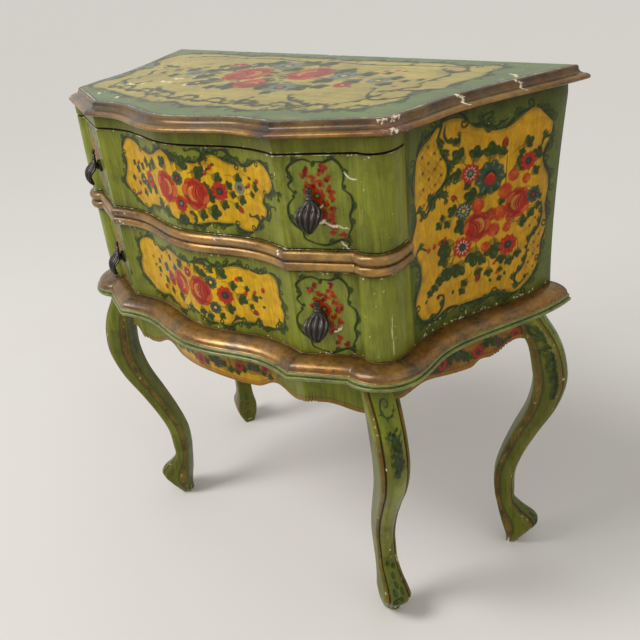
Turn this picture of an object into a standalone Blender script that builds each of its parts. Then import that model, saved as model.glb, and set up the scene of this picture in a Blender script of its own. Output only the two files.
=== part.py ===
"""A small serpentine chest of two drawers on four cabriole legs, in metres, +Z up.

The front faces -Y and the back stands in the plane y = BACK_Y. Every board of the case follows
one plan, which swells at a crest, dips at two flanks, breaks at a notch on each side, runs back
along a straight wing and turns round a corner column into a hollowed side.
"""

import math
from dataclasses import dataclass, fields, replace
from functools import partial

import bmesh
import bpy
from mathutils import Matrix, Vector

# Clearance between pieces that touch
GAP = 0.0003

# Heights, from the floor up
LEG_HEIGHT = 0.455
BASE_HEIGHT = 0.025
FRONT_HEIGHT = 0.1225
DRAWER_REVEAL = 0.0015
TOP_REVEAL = 0.003
MIDDLE_RAIL_HEIGHT = 0.030
TOP_RAIL_HEIGHT = 0.0195
TOP_THICKNESS = 0.018

# Boards of the case
SIDE_THICKNESS = 0.015
BACK_THICKNESS = 0.010
PLANK_DEPTH = 0.300
WRAP_DEPTH = 0.262
WRAP_THICKNESS = 0.0195

# Mouldings: how far each stands out from the board that it edges
TOP_MOULDING_REACH = 0.022
MIDDLE_MOULDING_REACH = 0.008
MIDDLE_MOULDING_HEIGHT = 0.029
BASE_MOULDING_REACH = 0.034

# Aprons
APRON_DROP = 0.061
APRON_PROUD = 0.005
APRON_THICKNESS = 0.016
BACK_APRON_DROP = 0.036
BACK_APRON_INSET = 0.018

# Cabriole legs, each in an upright plane turned outwards from front to back
FRONT_FOOT_X = 0.270
FRONT_FOOT_DEPTH = 0.3076
REAR_FOOT_X = 0.344
REAR_FOOT_DEPTH = 0.0575
LEG_TURN_degrees = 60
KNEE_REACH = 0.080
KNEE_WIDTH = 0.053
BLOCK_HEIGHT = 0.040
BLOCK_DEPTH = 0.028
BLOCK_WIDTH = 0.036

# Drawer boxes and what they run on
BOX_HALF_WIDTH = 0.2855
BOX_HEIGHT = 0.110
BOX_BACK_DEPTH = 0.030
BOX_SIDE_THICKNESS = 0.012
BOX_BACK_THICKNESS = 0.010
BOTTOM_THICKNESS = 0.006
REBATE_WIDTH = 0.006
BOX_LIFT = 0.007
RUNNING_CLEARANCE = 0.0005
GUIDE_CLEARANCE = 0.0015
RUNNER_INNER_X = 0.240
RUNNER_THICKNESS = 0.012
GUIDE_HEIGHT = 0.018

# Finger pulls and the bolts that hold them
LOWER_PULL_ALONG_WING = 0.036
UPPER_PULL_ALONG_WING = 0.045
PULL_RISE = 0.056
PULL_HEIGHT = 0.056
PULL_WIDTH = 0.036
PULL_REACH = 0.028
PULL_THICKNESS = 0.009
PULL_SEAT_RADIUS = 0.010
PULL_SEAT_THICKNESS = 0.006
BOLT_RADIUS = 0.0018
BOLT_GRIP = 0.020
BOLT_BITE = 0.004
BOLT_HEAD_RADIUS = 0.0042
BOLT_HEAD_HEIGHT = 0.003
BOLT_HOLE_CLEARANCE = 0.0004
POCKET_RADIUS = 0.0065

# How many steps each stretch of the plan takes
CENTRE_STEPS = 11
COLUMN_STEPS = 6
SIDE_STEPS = 11
WRAP_STEPS = 3
PANEL_LEVELS = 6
ROUND_SIDES = 16


@dataclass(frozen=True)
class Plan:
    """The right half of an outline seen from above; each depth is measured from the back."""

    crest: float
    flank_x: float
    flank: float
    notch_x: float
    notch: float
    wing_slope: float
    column_x: float
    column_radius: float
    column_bulge: float
    waist_x: float
    waist: float
    rear_x: float
    rear_lean: float


# The case at its base, and at its head, where the columns and sides swell outwards
BASE_PLAN = Plan(
    crest=0.373,
    flank_x=0.135,
    flank=0.350,
    notch_x=0.191,
    notch=0.357,
    wing_slope=0.43,
    column_x=0.319,
    column_radius=0.028,
    column_bulge=0.0142,
    waist_x=0.3125,
    waist=0.235,
    rear_x=0.374,
    rear_lean=0.0,
)
HEAD_PLAN = replace(BASE_PLAN, column_x=0.328, column_bulge=0.0068, waist_x=0.318, rear_x=0.398)
# The top board, whose rear corners run out into ears
TOP_PLAN = Plan(
    crest=0.3715,
    flank_x=0.135,
    flank=0.345,
    notch_x=0.189,
    notch=0.347,
    wing_slope=0.43,
    column_x=0.323,
    column_radius=0.020,
    column_bulge=0.0,
    waist_x=0.330,
    waist=0.235,
    rear_x=0.406,
    rear_lean=1.0,
)
SWELL_POWER_share = 1.6

# Heights that follow from the sizes above
FLOOR_Z = LEG_HEIGHT + BASE_HEIGHT
LOWER_FRONT_Z = FLOOR_Z + DRAWER_REVEAL
MIDDLE_RAIL_Z = LOWER_FRONT_Z + FRONT_HEIGHT + DRAWER_REVEAL
UPPER_FRONT_Z = MIDDLE_RAIL_Z + MIDDLE_RAIL_HEIGHT + DRAWER_REVEAL
TOP_RAIL_Z = UPPER_FRONT_Z + FRONT_HEIGHT + TOP_REVEAL
TOP_Z = TOP_RAIL_Z + TOP_RAIL_HEIGHT
BACK_Y = (BASE_PLAN.crest + BASE_MOULDING_REACH + GAP) / 2
PLANK_Y = BACK_Y - PLANK_DEPTH
WRAP_Y = BACK_Y - WRAP_DEPTH

# Cabriole leg, floor to case: height, inner and outer face, and half width, as shares of
# the leg's height, the knee's reach and the knee's width
LEG_shares = (
    (0.000, -0.22, 0.04, 0.20),
    (0.022, -0.20, 0.08, 0.30),
    (0.055, -0.22, 0.24, 0.40),
    (0.092, -0.27, 0.44, 0.43),
    (0.121, -0.31, 0.41, 0.39),
    (0.154, -0.35, 0.20, 0.34),
    (0.198, -0.39, -0.01, 0.31),
    (0.248, -0.43, -0.02, 0.30),
    (0.330, -0.42, 0.01, 0.31),
    (0.418, -0.27, 0.19, 0.33),
    (0.516, -0.03, 0.49, 0.355),
    (0.615, 0.24, 0.82, 0.40),
    (0.714, 0.36, 1.00, 0.43),
    (0.802, 0.33, 0.98, 0.44),
    (0.879, 0.26, 0.855, 0.44),
    (0.945, 0.09, 0.655, 0.46),
    (1.000, -0.06, 0.465, 0.48),
)
# Half of the leg's section: across, as a share of the half width, and out from its inner face
LEG_SECTION_shares = (
    (0.00, 1.00),
    (0.38, 0.98),
    (0.64, 0.90),
    (0.72, 0.80),
    (0.80, 0.83),
    (1.00, 0.72),
    (1.00, 0.24),
    (0.74, 0.00),
)

# Crests and hollows of the aprons' lower edges: place along the apron, and its drop there
FRONT_APRON_shares = (
    (0.00, 0.87),
    (0.315, 0.98),
    (0.463, 0.76),
    (0.60, 0.95),
    (0.80, 0.82),
    (1.00, 1.03),
)
SIDE_APRON_shares = (
    (0.00, 0.50),
    (0.477, 0.95),
    (0.537, 0.82),
    (0.607, 0.87),
    (0.727, 0.64),
    (0.90, 0.98),
    (1.00, 1.00),
)

# Finger pull, tip to hook: out from the drawer, up from its middle, width and thickness, as
# shares of the pull's reach, height, width and thickness
PULL_shares = (
    (0.24, 0.50, 0.10, 0.30),
    (0.26, 0.40, 0.30, 0.62),
    (0.27, 0.29, 0.22, 0.52),
    (0.29, 0.25, 0.36, 0.75),
    (0.31, 0.20, 0.30, 0.70),
    (0.36, 0.11, 0.62, 0.95),
    (0.50, 0.00, 0.94, 1.00),
    (0.70, -0.09, 1.00, 0.98),
    (0.82, -0.21, 0.84, 0.90),
    (0.80, -0.33, 0.56, 0.80),
    (0.72, -0.43, 0.30, 0.62),
    (0.62, -0.50, 0.10, 0.30),
)


def ease(share):
    """A smooth step from 0 to 1 with level ends."""
    return (1 - math.cos(math.pi * share)) / 2


def ease_slope(share):
    """How steeply ease climbs."""
    return math.sin(math.pi * share) * math.pi / 2


def blend(low, high, share):
    """The value that lies this share of the way from low to high."""
    return low + (high - low) * share


def case_plan(height):
    """The case's plan at this height."""
    share = min(max((height - FLOOR_Z) / (TOP_RAIL_Z - FLOOR_Z), 0), 1) ** SWELL_POWER_share
    names = [field.name for field in fields(Plan)]
    return Plan(*(blend(getattr(BASE_PLAN, name), getattr(HEAD_PLAN, name), share) for name in names))


def outward(heading):
    """The outward normal of a run along the plan with this heading."""
    return Vector((math.sin(heading), -math.cos(heading)))


def onward(heading):
    """The direction of a run along the plan with this heading."""
    return Vector((math.cos(heading), math.sin(heading)))


def wing_heading(plan):
    """The heading of the straight wing."""
    return math.atan(plan.wing_slope)


def column_centre(plan):
    """The centre of the corner column, which stands proud of the wing by its bulge."""
    normal = outward(wing_heading(plan))
    x = plan.column_x - plan.column_radius
    inside = plan.column_radius - plan.column_bulge
    return Vector((x, BACK_Y - plan.notch - (inside + (x - plan.notch_x) * normal.x) / normal.y))


def crease_angle(plan, offset):
    """Where the column's arc meets the wing, both moved outwards by the offset."""
    inside = plan.column_radius - plan.column_bulge + offset
    across = math.acos(min(inside / (plan.column_radius + offset), 1))
    return wing_heading(plan) - math.pi / 2 - across


def centre_point(plan, share, offset):
    """A point of the swelling centre, from the crest at 0 to the mitred notch at 1."""
    x = plan.notch_x * share
    if x <= plan.flank_x:
        along = x / plan.flank_x
        y = BACK_Y - blend(plan.crest, plan.flank, ease(along))
        slope = (plan.crest - plan.flank) * ease_slope(along) / plan.flank_x
    else:
        run = plan.notch_x - plan.flank_x
        along = (x - plan.flank_x) / run
        y = BACK_Y - blend(plan.flank, plan.notch, along * along)
        slope = (plan.flank - plan.notch) * 2 * along / run
    normal = outward(math.atan(slope))
    if share == 1:
        following = outward(wing_heading(plan))
        normal = (normal + following) / (1 + normal.dot(following))
    return Vector((x, y)) + offset * normal


def column_point(plan, share, offset):
    """A point of the corner column, from the crease at 0 to the side at 1."""
    angle = blend(crease_angle(plan, offset), 0, share)
    return column_centre(plan) + (plan.column_radius + offset) * onward(angle)


def side_line(plan, y):
    """The side's distance from the middle at y, and how fast it changes."""
    start = column_centre(plan).y
    waist_y = BACK_Y - plan.waist
    if y < waist_y:
        share = (y - start) / (waist_y - start)
        swing = plan.waist_x - plan.column_x
        return plan.column_x + swing * ease(share), swing * ease_slope(share) / (waist_y - start)
    share = (y - waist_y) / plan.waist
    swing = plan.rear_x - plan.waist_x
    lean = plan.rear_lean
    out = share * share * (3 - lean + (lean - 2) * share)
    slope = share * (6 - 2 * lean + 3 * (lean - 2) * share)
    return plan.waist_x + swing * out, swing * slope / plan.waist


def side_point(plan, y, offset, cut=False):
    """A point of the hollowed side at y; a cut end stays in the upright plane of that y."""
    x, slope = side_line(plan, y)
    heading = math.atan2(1, slope)
    shift = outward(heading)
    if cut:
        shift = shift - onward(heading) * (shift.y / onward(heading).y)
    return Vector((x, y)) + offset * shift


def centre_run(plan):
    """Stations from the crest to the right notch; each gives a point for an offset."""
    return [partial(centre_point, plan, i / CENTRE_STEPS) for i in range(CENTRE_STEPS + 1)]


def column_run(plan):
    """Stations from the crease at the wing's end round the corner column."""
    return [partial(column_point, plan, i / COLUMN_STEPS) for i in range(COLUMN_STEPS + 1)]


def side_run(plan, stop_y, steps=SIDE_STEPS):
    """Stations along the side, from behind the column to the plane y = stop_y."""
    start = column_centre(plan).y
    run = [partial(side_point, plan, blend(start, stop_y, i / steps)) for i in range(1, steps)]
    return run + [partial(side_point, plan, stop_y, cut=True)]


def mirrored(run):
    """The same stations on the left, in the opposite order."""

    def flipped(station, offset):
        point = station(offset)
        return Vector((-point.x, point.y))

    return [partial(flipped, station) for station in reversed(run)]


def front_run(plan, stop_y, steps):
    """Stations from the left side round the whole front to the right side."""
    right = centre_run(plan)[1:] + column_run(plan) + side_run(plan, stop_y, steps)
    return mirrored(right) + [centre_run(plan)[0]] + right


def placed(station, offset, z):
    """A station's point at a height."""
    point = station(offset)
    return Vector((point.x, point.y, z))


def arc_shares(centre, radii, start, stop, steps):
    """Points of an elliptical arc, its angles in degrees."""
    points = []
    for i in range(steps + 1):
        angle = math.radians(blend(start, stop, i / steps))
        points.append((centre[0] + radii[0] * math.cos(angle), centre[1] + radii[1] * math.sin(angle)))
    return points


def top_profile():
    """Fillet, cove and bead of the top moulding, as shares of its reach and height."""
    cove = arc_shares((0.64, 0.80), (0.38, 0.34), 180, 270, 4)
    bead = arc_shares((0.66, 0.23), (0.34, 0.23), 75, -90, 6)
    return [(0, 0), (0, 1), (0.18, 1), (0.25, 0.93)] + cove + bead


def middle_profile():
    """The double bead between the drawers."""
    lower = arc_shares((0.25, 0.25), (0.75, 0.24), -90, 75, 5)
    upper = arc_shares((0.25, 0.75), (0.75, 0.24), -75, 90, 5)
    return [(0, 1), (0, 0)] + lower + upper


def base_profile():
    """A broad ovolo over two small beads, for the base moulding."""
    ovolo = arc_shares((0.06, 0.50), (0.76, 0.50), 90, 0, 6)
    upper_bead = arc_shares((0.86, 0.34), (0.07, 0.10), 90, -70, 3)
    lower_bead = arc_shares((0.92, 0.115), (0.08, 0.115), 80, -90, 3)
    return [(0, 0), (0, 1)] + ovolo + upper_bead + lower_bead


def finish(name, colour, roughness, metallic=0.0):
    """One piece's own material."""
    material = bpy.data.materials.new(f"{name}_finish")
    material.use_nodes = True
    shader = material.node_tree.nodes["Principled BSDF"]
    shader.inputs["Base Color"].default_value = (*colour, 1)
    shader.inputs["Roughness"].default_value = roughness
    shader.inputs["Metallic"].default_value = metallic
    material.diffuse_color = (*colour, 1)
    return material


def green_paint(name):
    """Olive green paint under old varnish."""
    return finish(name, (0.19, 0.24, 0.06), 0.35)


def ochre_paint(name):
    """The yellow ground of the painted panels."""
    return finish(name, (0.56, 0.34, 0.04), 0.35)


def top_paint(name):
    """The paler ground of the top."""
    return finish(name, (0.42, 0.40, 0.17), 0.32)


def old_gilding(name):
    """Rubbed and darkened gilding."""
    return finish(name, (0.30, 0.18, 0.06), 0.38, 0.6)


def dark_bronze(name):
    """Cast bronze gone nearly black."""
    return finish(name, (0.05, 0.048, 0.045), 0.4, 0.8)


def bare_wood(name):
    """Unpainted softwood inside."""
    return finish(name, (0.36, 0.22, 0.11), 0.7)


def iron(name):
    """Plain iron of the bolts."""
    return finish(name, (0.12, 0.11, 0.10), 0.5, 0.9)


def collection_named(name):
    """A new collection in the scene."""
    collection = bpy.data.collections.new(name)
    bpy.context.scene.collection.children.link(collection)
    return collection


def add(collection, name, bm, material=None):
    """The finished mesh as a named object, its faces turned outwards."""
    bmesh.ops.recalc_face_normals(bm, faces=bm.faces)
    mesh = bpy.data.meshes.new(name)
    bm.to_mesh(mesh)
    bm.free()
    piece = bpy.data.objects.new(name, mesh)
    if material:
        mesh.materials.append(material)
    collection.objects.link(piece)
    return piece


def lofted(rings):
    """A closed skin through rings of equally many points, capped at both ends."""
    bm = bmesh.new()
    rows = [[bm.verts.new(point) for point in ring] for ring in rings]
    for low, high in zip(rows, rows[1:]):
        for i, corner in enumerate(low):
            following = (i + 1) % len(low)
            bm.faces.new((corner, low[following], high[following], high[i]))
    bm.faces.new(rows[0])
    bm.faces.new(rows[-1])
    return bm


def board(low_outline, high_outline, low_z, high_z):
    """A board between two heights, whose outline may differ at its two faces."""
    rings = [[Vector((p.x, p.y, low_z)) for p in low_outline]]
    rings.append([Vector((p.x, p.y, high_z)) for p in high_outline])
    return lofted(rings)


def box(low, high):
    """A plain block between two corners."""
    bm = bmesh.new()
    bmesh.ops.create_cube(bm, size=1)
    low, high = Vector(low), Vector(high)
    bmesh.ops.scale(bm, vec=high - low, verts=bm.verts)
    bmesh.ops.translate(bm, vec=(low + high) / 2, verts=bm.verts)
    return bm


def turned(cutters, name, profile, matrix):
    """A hidden turned shape, its profile given as radius and height from top to bottom."""
    mesh = bpy.data.meshes.new(name)
    edges = [(i, i + 1) for i in range(len(profile) - 1)]
    mesh.from_pydata([(radius, 0, height) for radius, height in profile], edges, [])
    piece = bpy.data.objects.new(name, mesh)
    cutters.objects.link(piece)
    piece.matrix_world = matrix
    screw = piece.modifiers.new("Turn", "SCREW")
    screw.steps = ROUND_SIDES
    screw.render_steps = ROUND_SIDES
    screw.use_merge_vertices = True
    screw.merge_threshold = GAP / 10
    return piece


def hide_helper(piece):
    """Shows a cutter as wires and keeps it out of the model."""
    piece.hide_render = True
    piece.display_type = "WIRE"
    return piece


def boolean(piece, other, operation):
    """Cuts or joins another mesh, with the exact solver."""
    modifier = piece.modifiers.new(operation.title(), "BOOLEAN")
    modifier.operation = operation
    modifier.object = other
    modifier.solver = "EXACT"


def moulding_runs(plan, wrapped):
    """The stations of each mitred length; a wrapped moulding ends behind the columns."""
    half = centre_run(plan)
    wing = [half[-1]] + column_run(plan)
    if wrapped:
        wing += side_run(plan, WRAP_Y, WRAP_STEPS)
    runs = {"centre": mirrored(half[1:]) + half, "left_wing": mirrored(wing), "right_wing": wing}
    if not wrapped:
        side = [wing[-1]] + side_run(plan, BACK_Y)
        runs |= {"left_side": mirrored(side), "right_side": side}
    return runs


def build_mouldings(parts, prefix, plan_at, reach, height, low_z, profile, wrapped=False):
    """Sweeps a moulding round its plan, each length drawn back a little from its mitres."""
    levels = [moulding_runs(plan_at(low_z + height * up), wrapped) for _, up in profile]
    for length in levels[0]:
        columns = []
        for runs, (out, up) in zip(levels, profile):
            z = low_z + height * up
            columns.append([placed(station, GAP + reach * out, z) for station in runs[length]])
        rings = list(zip(*columns))
        for ring, neighbour in ((rings[0], rings[1]), (rings[-1], rings[-2])):
            away = (neighbour[0] - ring[0]).normalized() * GAP / 2
            for point in ring:
                point += away
        name = f"{prefix}_{length}"
        add(parts, name, lofted(rings), old_gilding(name))


def build_boards(parts):
    """The top board and the base board, each to the full outline of its plan."""
    for name, plan, low_z, thickness, paint in (
        ("top_board", TOP_PLAN, TOP_Z, TOP_THICKNESS, top_paint),
        ("base_board", BASE_PLAN, LEG_HEIGHT, BASE_HEIGHT, bare_wood),
    ):
        outline = [station(0) for station in front_run(plan, BACK_Y, SIDE_STEPS)]
        add(parts, name, board(outline, outline, low_z, low_z + thickness), paint(name))


def plank_outline(z):
    """The outline of a rail or drawer front: shaped outside, flat inside, wrapped at its ends."""
    plan = case_plan(z)
    outer = [station(0) for station in front_run(plan, WRAP_Y - GAP, WRAP_STEPS)]
    inner_x = side_line(BASE_PLAN, WRAP_Y)[0] - WRAP_THICKNESS
    inner = [(inner_x, WRAP_Y - GAP), (inner_x, PLANK_Y), (-inner_x, PLANK_Y), (-inner_x, WRAP_Y - GAP)]
    return outer + [Vector(point) for point in inner]


def plank(low_z, height):
    """A rail or drawer front that follows the swelling case between two heights."""
    return board(plank_outline(low_z), plank_outline(low_z + height), low_z, low_z + height)


def build_rails(parts):
    """The rail over the upper drawer and the rail between the drawers."""
    height = TOP_RAIL_HEIGHT - GAP
    add(parts, "top_rail", plank(TOP_RAIL_Z, height), green_paint("top_rail"))
    add(parts, "middle_rail", plank(MIDDLE_RAIL_Z, MIDDLE_RAIL_HEIGHT), green_paint("middle_rail"))


def build_side_panels(parts):
    """The hollowed sides, which lean outwards towards their upper rear corners."""
    levels = [blend(FLOOR_Z + GAP, TOP_Z - GAP, i / PANEL_LEVELS) for i in range(PANEL_LEVELS + 1)]
    back_y = BACK_Y - BACK_THICKNESS
    depths = [blend(WRAP_Y, back_y, i / SIDE_STEPS) for i in range(SIDE_STEPS + 1)] + [BACK_Y]
    for hand, sign in (("left", -1), ("right", 1)):
        rings = []
        for y in depths:
            outer = [(side_line(case_plan(z), y)[0], z) for z in levels]
            inner = [(x - SIDE_THICKNESS, z) for x, z in reversed(outer)]
            rings.append([Vector((sign * x, y, z)) for x, z in outer + inner])
        name = f"{hand}_side_panel"
        add(parts, name, lofted(rings), ochre_paint(name))


def build_back_panel(parts):
    """The back, set between the side panels."""
    levels = [blend(FLOOR_Z + GAP, TOP_Z - GAP, i / PANEL_LEVELS) for i in range(PANEL_LEVELS + 1)]
    front_y = BACK_Y - BACK_THICKNESS
    edge = [(side_line(case_plan(z), front_y)[0] - SIDE_THICKNESS - GAP, z) for z in levels]
    outline = edge + [(-x, z) for x, z in reversed(edge)]
    rings = [[Vector((x, y, z)) for x, z in outline] for y in (front_y, BACK_Y)]
    add(parts, "back_panel", lofted(rings), bare_wood("back_panel"))


def runner_outline(inner_x, front_y, sign):
    """A runner's outline, from its straight inner edge to the hollow of the side panel."""
    wrap_x = side_line(BASE_PLAN, WRAP_Y)[0] - WRAP_THICKNESS - 2 * GAP
    points = [(inner_x, BACK_Y - BACK_THICKNESS - GAP), (inner_x, front_y)]
    if front_y < WRAP_Y:
        points += [(wrap_x, front_y), (wrap_x, WRAP_Y + GAP)]
    for i in range(SIDE_STEPS + 1):
        y = blend(WRAP_Y + GAP, BACK_Y - BACK_THICKNESS - GAP, i / SIDE_STEPS)
        points.append((side_line(BASE_PLAN, y)[0] - SIDE_THICKNESS - GAP, y))
    return [Vector((sign * x, y)) for x, y in points]


def build_runners(parts, cutters):
    """A runner and guide at each end of each drawer, let in between the rail and the back."""
    levels = (
        ("lower", FLOOR_Z + GAP, LOWER_FRONT_Z + BOX_LIFT - RUNNING_CLEARANCE),
        ("upper", UPPER_FRONT_Z + BOX_LIFT - RUNNER_THICKNESS, UPPER_FRONT_Z + BOX_LIFT - RUNNING_CLEARANCE),
    )
    for level, low_z, top_z in levels:
        for hand, sign in (("left", -1), ("right", 1)):
            name = f"{level}_{hand}_runner"
            plate = runner_outline(RUNNER_INNER_X, PLANK_Y + GAP, sign)
            guide = runner_outline(BOX_HALF_WIDTH + GUIDE_CLEARANCE, WRAP_Y + GAP, sign)
            runner = add(parts, name, board(plate, plate, low_z, top_z), bare_wood(name))
            strip = board(guide, guide, (low_z + top_z) / 2, top_z + GUIDE_HEIGHT)
            boolean(runner, hide_helper(add(cutters, f"{name}_guide", strip)), "UNION")


def build_drawer(parts, cutters, level, front_z, pull_distance):
    """One drawer: shaped front, two sides, back and rebated bottom, with two bolted pulls."""
    front = add(parts, f"{level}_front", plank(front_z, FRONT_HEIGHT), green_paint(f"{level}_front"))
    low_z = front_z + BOX_LIFT
    high_z = low_z + BOX_HEIGHT
    back_y = BACK_Y - BOX_BACK_DEPTH
    inner_x = BOX_HALF_WIDTH - BOX_SIDE_THICKNESS
    step_x = inner_x + REBATE_WIDTH
    step_z = low_z + BOTTOM_THICKNESS + GAP
    section = [(BOX_HALF_WIDTH, low_z), (BOX_HALF_WIDTH, high_z), (inner_x, high_z)]
    section += [(inner_x, step_z), (step_x, step_z), (step_x, low_z)]
    for hand, sign in (("left", -1), ("right", 1)):
        rings = [[Vector((sign * x, y, z)) for x, z in section] for y in (PLANK_Y + GAP, back_y)]
        name = f"{level}_{hand}_drawer_side"
        add(parts, name, lofted(rings), bare_wood(name))
        matrix = pull_matrix(front_z + PULL_RISE, sign, pull_distance)
        build_pull(parts, cutters, front, f"{level}_{hand}", matrix)
    bottom = box(
        (GAP - step_x, PLANK_Y + GAP, low_z),
        (step_x - GAP, back_y, low_z + BOTTOM_THICKNESS),
    )
    add(parts, f"{level}_drawer_bottom", bottom, bare_wood(f"{level}_drawer_bottom"))
    back = box(
        (GAP - inner_x, back_y - BOX_BACK_THICKNESS, step_z),
        (inner_x - GAP, back_y, high_z),
    )
    add(parts, f"{level}_drawer_back", back, bare_wood(f"{level}_drawer_back"))


def pull_matrix(z, sign, distance):
    """A pull's own frame, this far along the wing from the notch: y out of the wing and z up."""
    along = onward(wing_heading(BASE_PLAN))
    place = Vector((BASE_PLAN.notch_x, BACK_Y - BASE_PLAN.notch)) + along * distance
    out = Vector((sign * along.y, -along.x, 0))
    up = Vector((0, 0, 1))
    axes = Matrix((out.cross(up), out, up)).transposed()
    return Matrix.Translation((sign * place.x, place.y, z)) @ axes.to_4x4()


def pull_rings():
    """Sections of the leaf, each square to the line that it follows from tip to hook."""
    middles = [Vector((0, PULL_REACH * out, PULL_HEIGHT * up)) for out, up, _, _ in PULL_shares]
    rings = []
    for i, (_, _, wide, thick) in enumerate(PULL_shares):
        run = middles[min(i + 1, len(middles) - 1)] - middles[max(i - 1, 0)]
        face = Vector((0, run.z, -run.y)).normalized()
        ring = []
        for step in range(ROUND_SIDES):
            angle = 2 * math.pi * step / ROUND_SIDES
            across = Vector((math.cos(angle) * wide * PULL_WIDTH / 2, 0, 0))
            deep = face * (math.sin(angle) * thick * PULL_THICKNESS / 2)
            ring.append(middles[i] + across + deep)
        rings.append(ring)
    return rings


def build_pull(parts, cutters, front, name, matrix):
    """A cast leaf pull, its seat against the wing and its bolt from inside the drawer."""
    to_axis = matrix @ Matrix.Rotation(-math.pi / 2, 4, "X")
    pull = add(parts, f"{name}_pull", lofted(pull_rings()), dark_bronze(f"{name}_pull"))
    pull.matrix_world = matrix
    seat_top = GAP + PULL_SEAT_THICKNESS + PULL_THICKNESS / 2
    seat_edge = GAP + PULL_SEAT_THICKNESS / 2
    seat_profile = [
        (0, seat_top),
        (PULL_SEAT_RADIUS / 2, seat_top),
        (PULL_SEAT_RADIUS, seat_edge),
        (PULL_SEAT_RADIUS, GAP),
        (0, GAP),
    ]
    seat = turned(cutters, f"{name}_seat", seat_profile, to_axis)
    boolean(pull, hide_helper(seat), "UNION")
    hole_radius = BOLT_RADIUS + BOLT_HOLE_CLEARANCE
    tip = GAP + BOLT_BITE
    hole_profile = [
        (0, tip + GAP),
        (hole_radius, tip + GAP),
        (hole_radius, -BOLT_GRIP - GAP),
        (POCKET_RADIUS, -BOLT_GRIP - GAP),
        (POCKET_RADIUS, -PLANK_DEPTH / 3),
        (0, -PLANK_DEPTH / 3),
    ]
    hole = hide_helper(turned(cutters, f"{name}_bolt_hole", hole_profile, to_axis))
    boolean(pull, hole, "DIFFERENCE")
    boolean(front, hole, "DIFFERENCE")
    bolt_profile = [
        (0, tip),
        (BOLT_RADIUS, tip),
        (BOLT_RADIUS, -BOLT_GRIP - 2 * GAP),
        (BOLT_HEAD_RADIUS, -BOLT_GRIP - 2 * GAP),
        (BOLT_HEAD_RADIUS, -BOLT_GRIP - BOLT_HEAD_HEIGHT),
        (0, -BOLT_GRIP - BOLT_HEAD_HEIGHT),
    ]
    bolt = turned(parts, f"{name}_pull_bolt", bolt_profile, to_axis)
    bolt.data.materials.append(iron(bolt.name))


def leg_corners():
    """Each leg's name, foot and the outward direction of its own plane."""
    turn = math.radians(LEG_TURN_degrees)
    for end, x, depth, back in (
        ("front", FRONT_FOOT_X, FRONT_FOOT_DEPTH, -1),
        ("rear", REAR_FOOT_X, REAR_FOOT_DEPTH, 1),
    ):
        for hand, sign in (("left", -1), ("right", 1)):
            foot = Vector((sign * x, BACK_Y - depth, 0))
            yield f"{end}_{hand}", foot, Vector((sign * math.sin(turn), back * math.cos(turn), 0))


def build_legs(parts):
    """Four cabriole legs, each lofted through sections from toe to case."""
    half_section = [*LEG_SECTION_shares]
    section = half_section + [(-across, out) for across, out in reversed(half_section) if across]
    for corner, foot, away in leg_corners():
        across = away.cross(Vector((0, 0, 1)))
        rings = []
        for height, inner, outer, half_width in LEG_shares:
            z = height * (LEG_HEIGHT - GAP)
            ring = []
            for side, out in section:
                reach = blend(inner, outer, out) * KNEE_REACH
                place = foot + away * reach + across * (side * half_width * KNEE_WIDTH)
                ring.append(place + Vector((0, 0, z)))
            rings.append(ring)
        name = f"{corner}_leg"
        add(parts, name, lofted(rings), green_paint(name))


def build_corner_blocks(parts):
    """A glue block inside each corner, between the leg and the base board."""
    for corner, foot, away in leg_corners():
        across = away.cross(Vector((0, 0, 1)))
        start = LEG_shares[-1][1] * KNEE_REACH - GAP
        outline = []
        for reach, half_width in (
            (start, KNEE_WIDTH / 3),
            (start - BLOCK_DEPTH, BLOCK_WIDTH / 2),
            (start - BLOCK_DEPTH, -BLOCK_WIDTH / 2),
            (start, -KNEE_WIDTH / 3),
        ):
            outline.append(foot + away * reach + across * half_width)
        high_z = LEG_HEIGHT - GAP
        name = f"{corner}_corner_block"
        add(parts, name, board(outline, outline, high_z - BLOCK_HEIGHT, high_z), bare_wood(name))


def apron_drop(table, share):
    """The apron's drop at this share of its length, eased from each crest to the next hollow."""
    for (low, low_drop), (high, high_drop) in zip(table, table[1:]):
        if share <= high:
            return APRON_DROP * blend(low_drop, high_drop, ease((share - low) / (high - low)))
    return APRON_DROP * table[-1][1]


def apron_ring(station, drop):
    """A section of an apron under the base board."""
    outer = placed(station, APRON_PROUD, LEG_HEIGHT - GAP)
    inner = placed(station, APRON_PROUD - APRON_THICKNESS, LEG_HEIGHT - GAP)
    fall = Vector((0, 0, drop))
    return [outer, outer - fall, inner - fall, inner]


def wing_point(ends, share, offset):
    """A point of the straight wing between the stations at its two ends."""
    return ends[0](offset).lerp(ends[1](offset), share)


def front_apron_run():
    """Close stations along the front apron, from one column's crease to the other's."""
    steps = 3 * CENTRE_STEPS
    right = [partial(centre_point, BASE_PLAN, i / steps) for i in range(steps + 1)]
    ends = (right[-1], column_run(BASE_PLAN)[0])
    steps = 2 * CENTRE_STEPS
    right += [partial(wing_point, ends, i / steps) for i in range(1, steps + 1)]
    return mirrored(right[1:]) + right


def leg_cutter(cutters, corner, foot, away, toward):
    """A tall box over a leg and all that lies beyond it, which ends an apron at the leg's cheek."""
    across = away.cross(Vector((0, 0, 1)))
    if across.dot(toward) < 0:
        across = -across
    cheek = foot + across * (KNEE_WIDTH / 2 + GAP)
    outline = [
        cheek + away * LEG_HEIGHT,
        cheek - away * LEG_HEIGHT,
        cheek - away * LEG_HEIGHT - across * LEG_HEIGHT,
        cheek + away * LEG_HEIGHT - across * LEG_HEIGHT,
    ]
    return hide_helper(add(cutters, f"{corner}_end_cut", board(outline, outline, 0, 2 * LEG_HEIGHT)))


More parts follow.
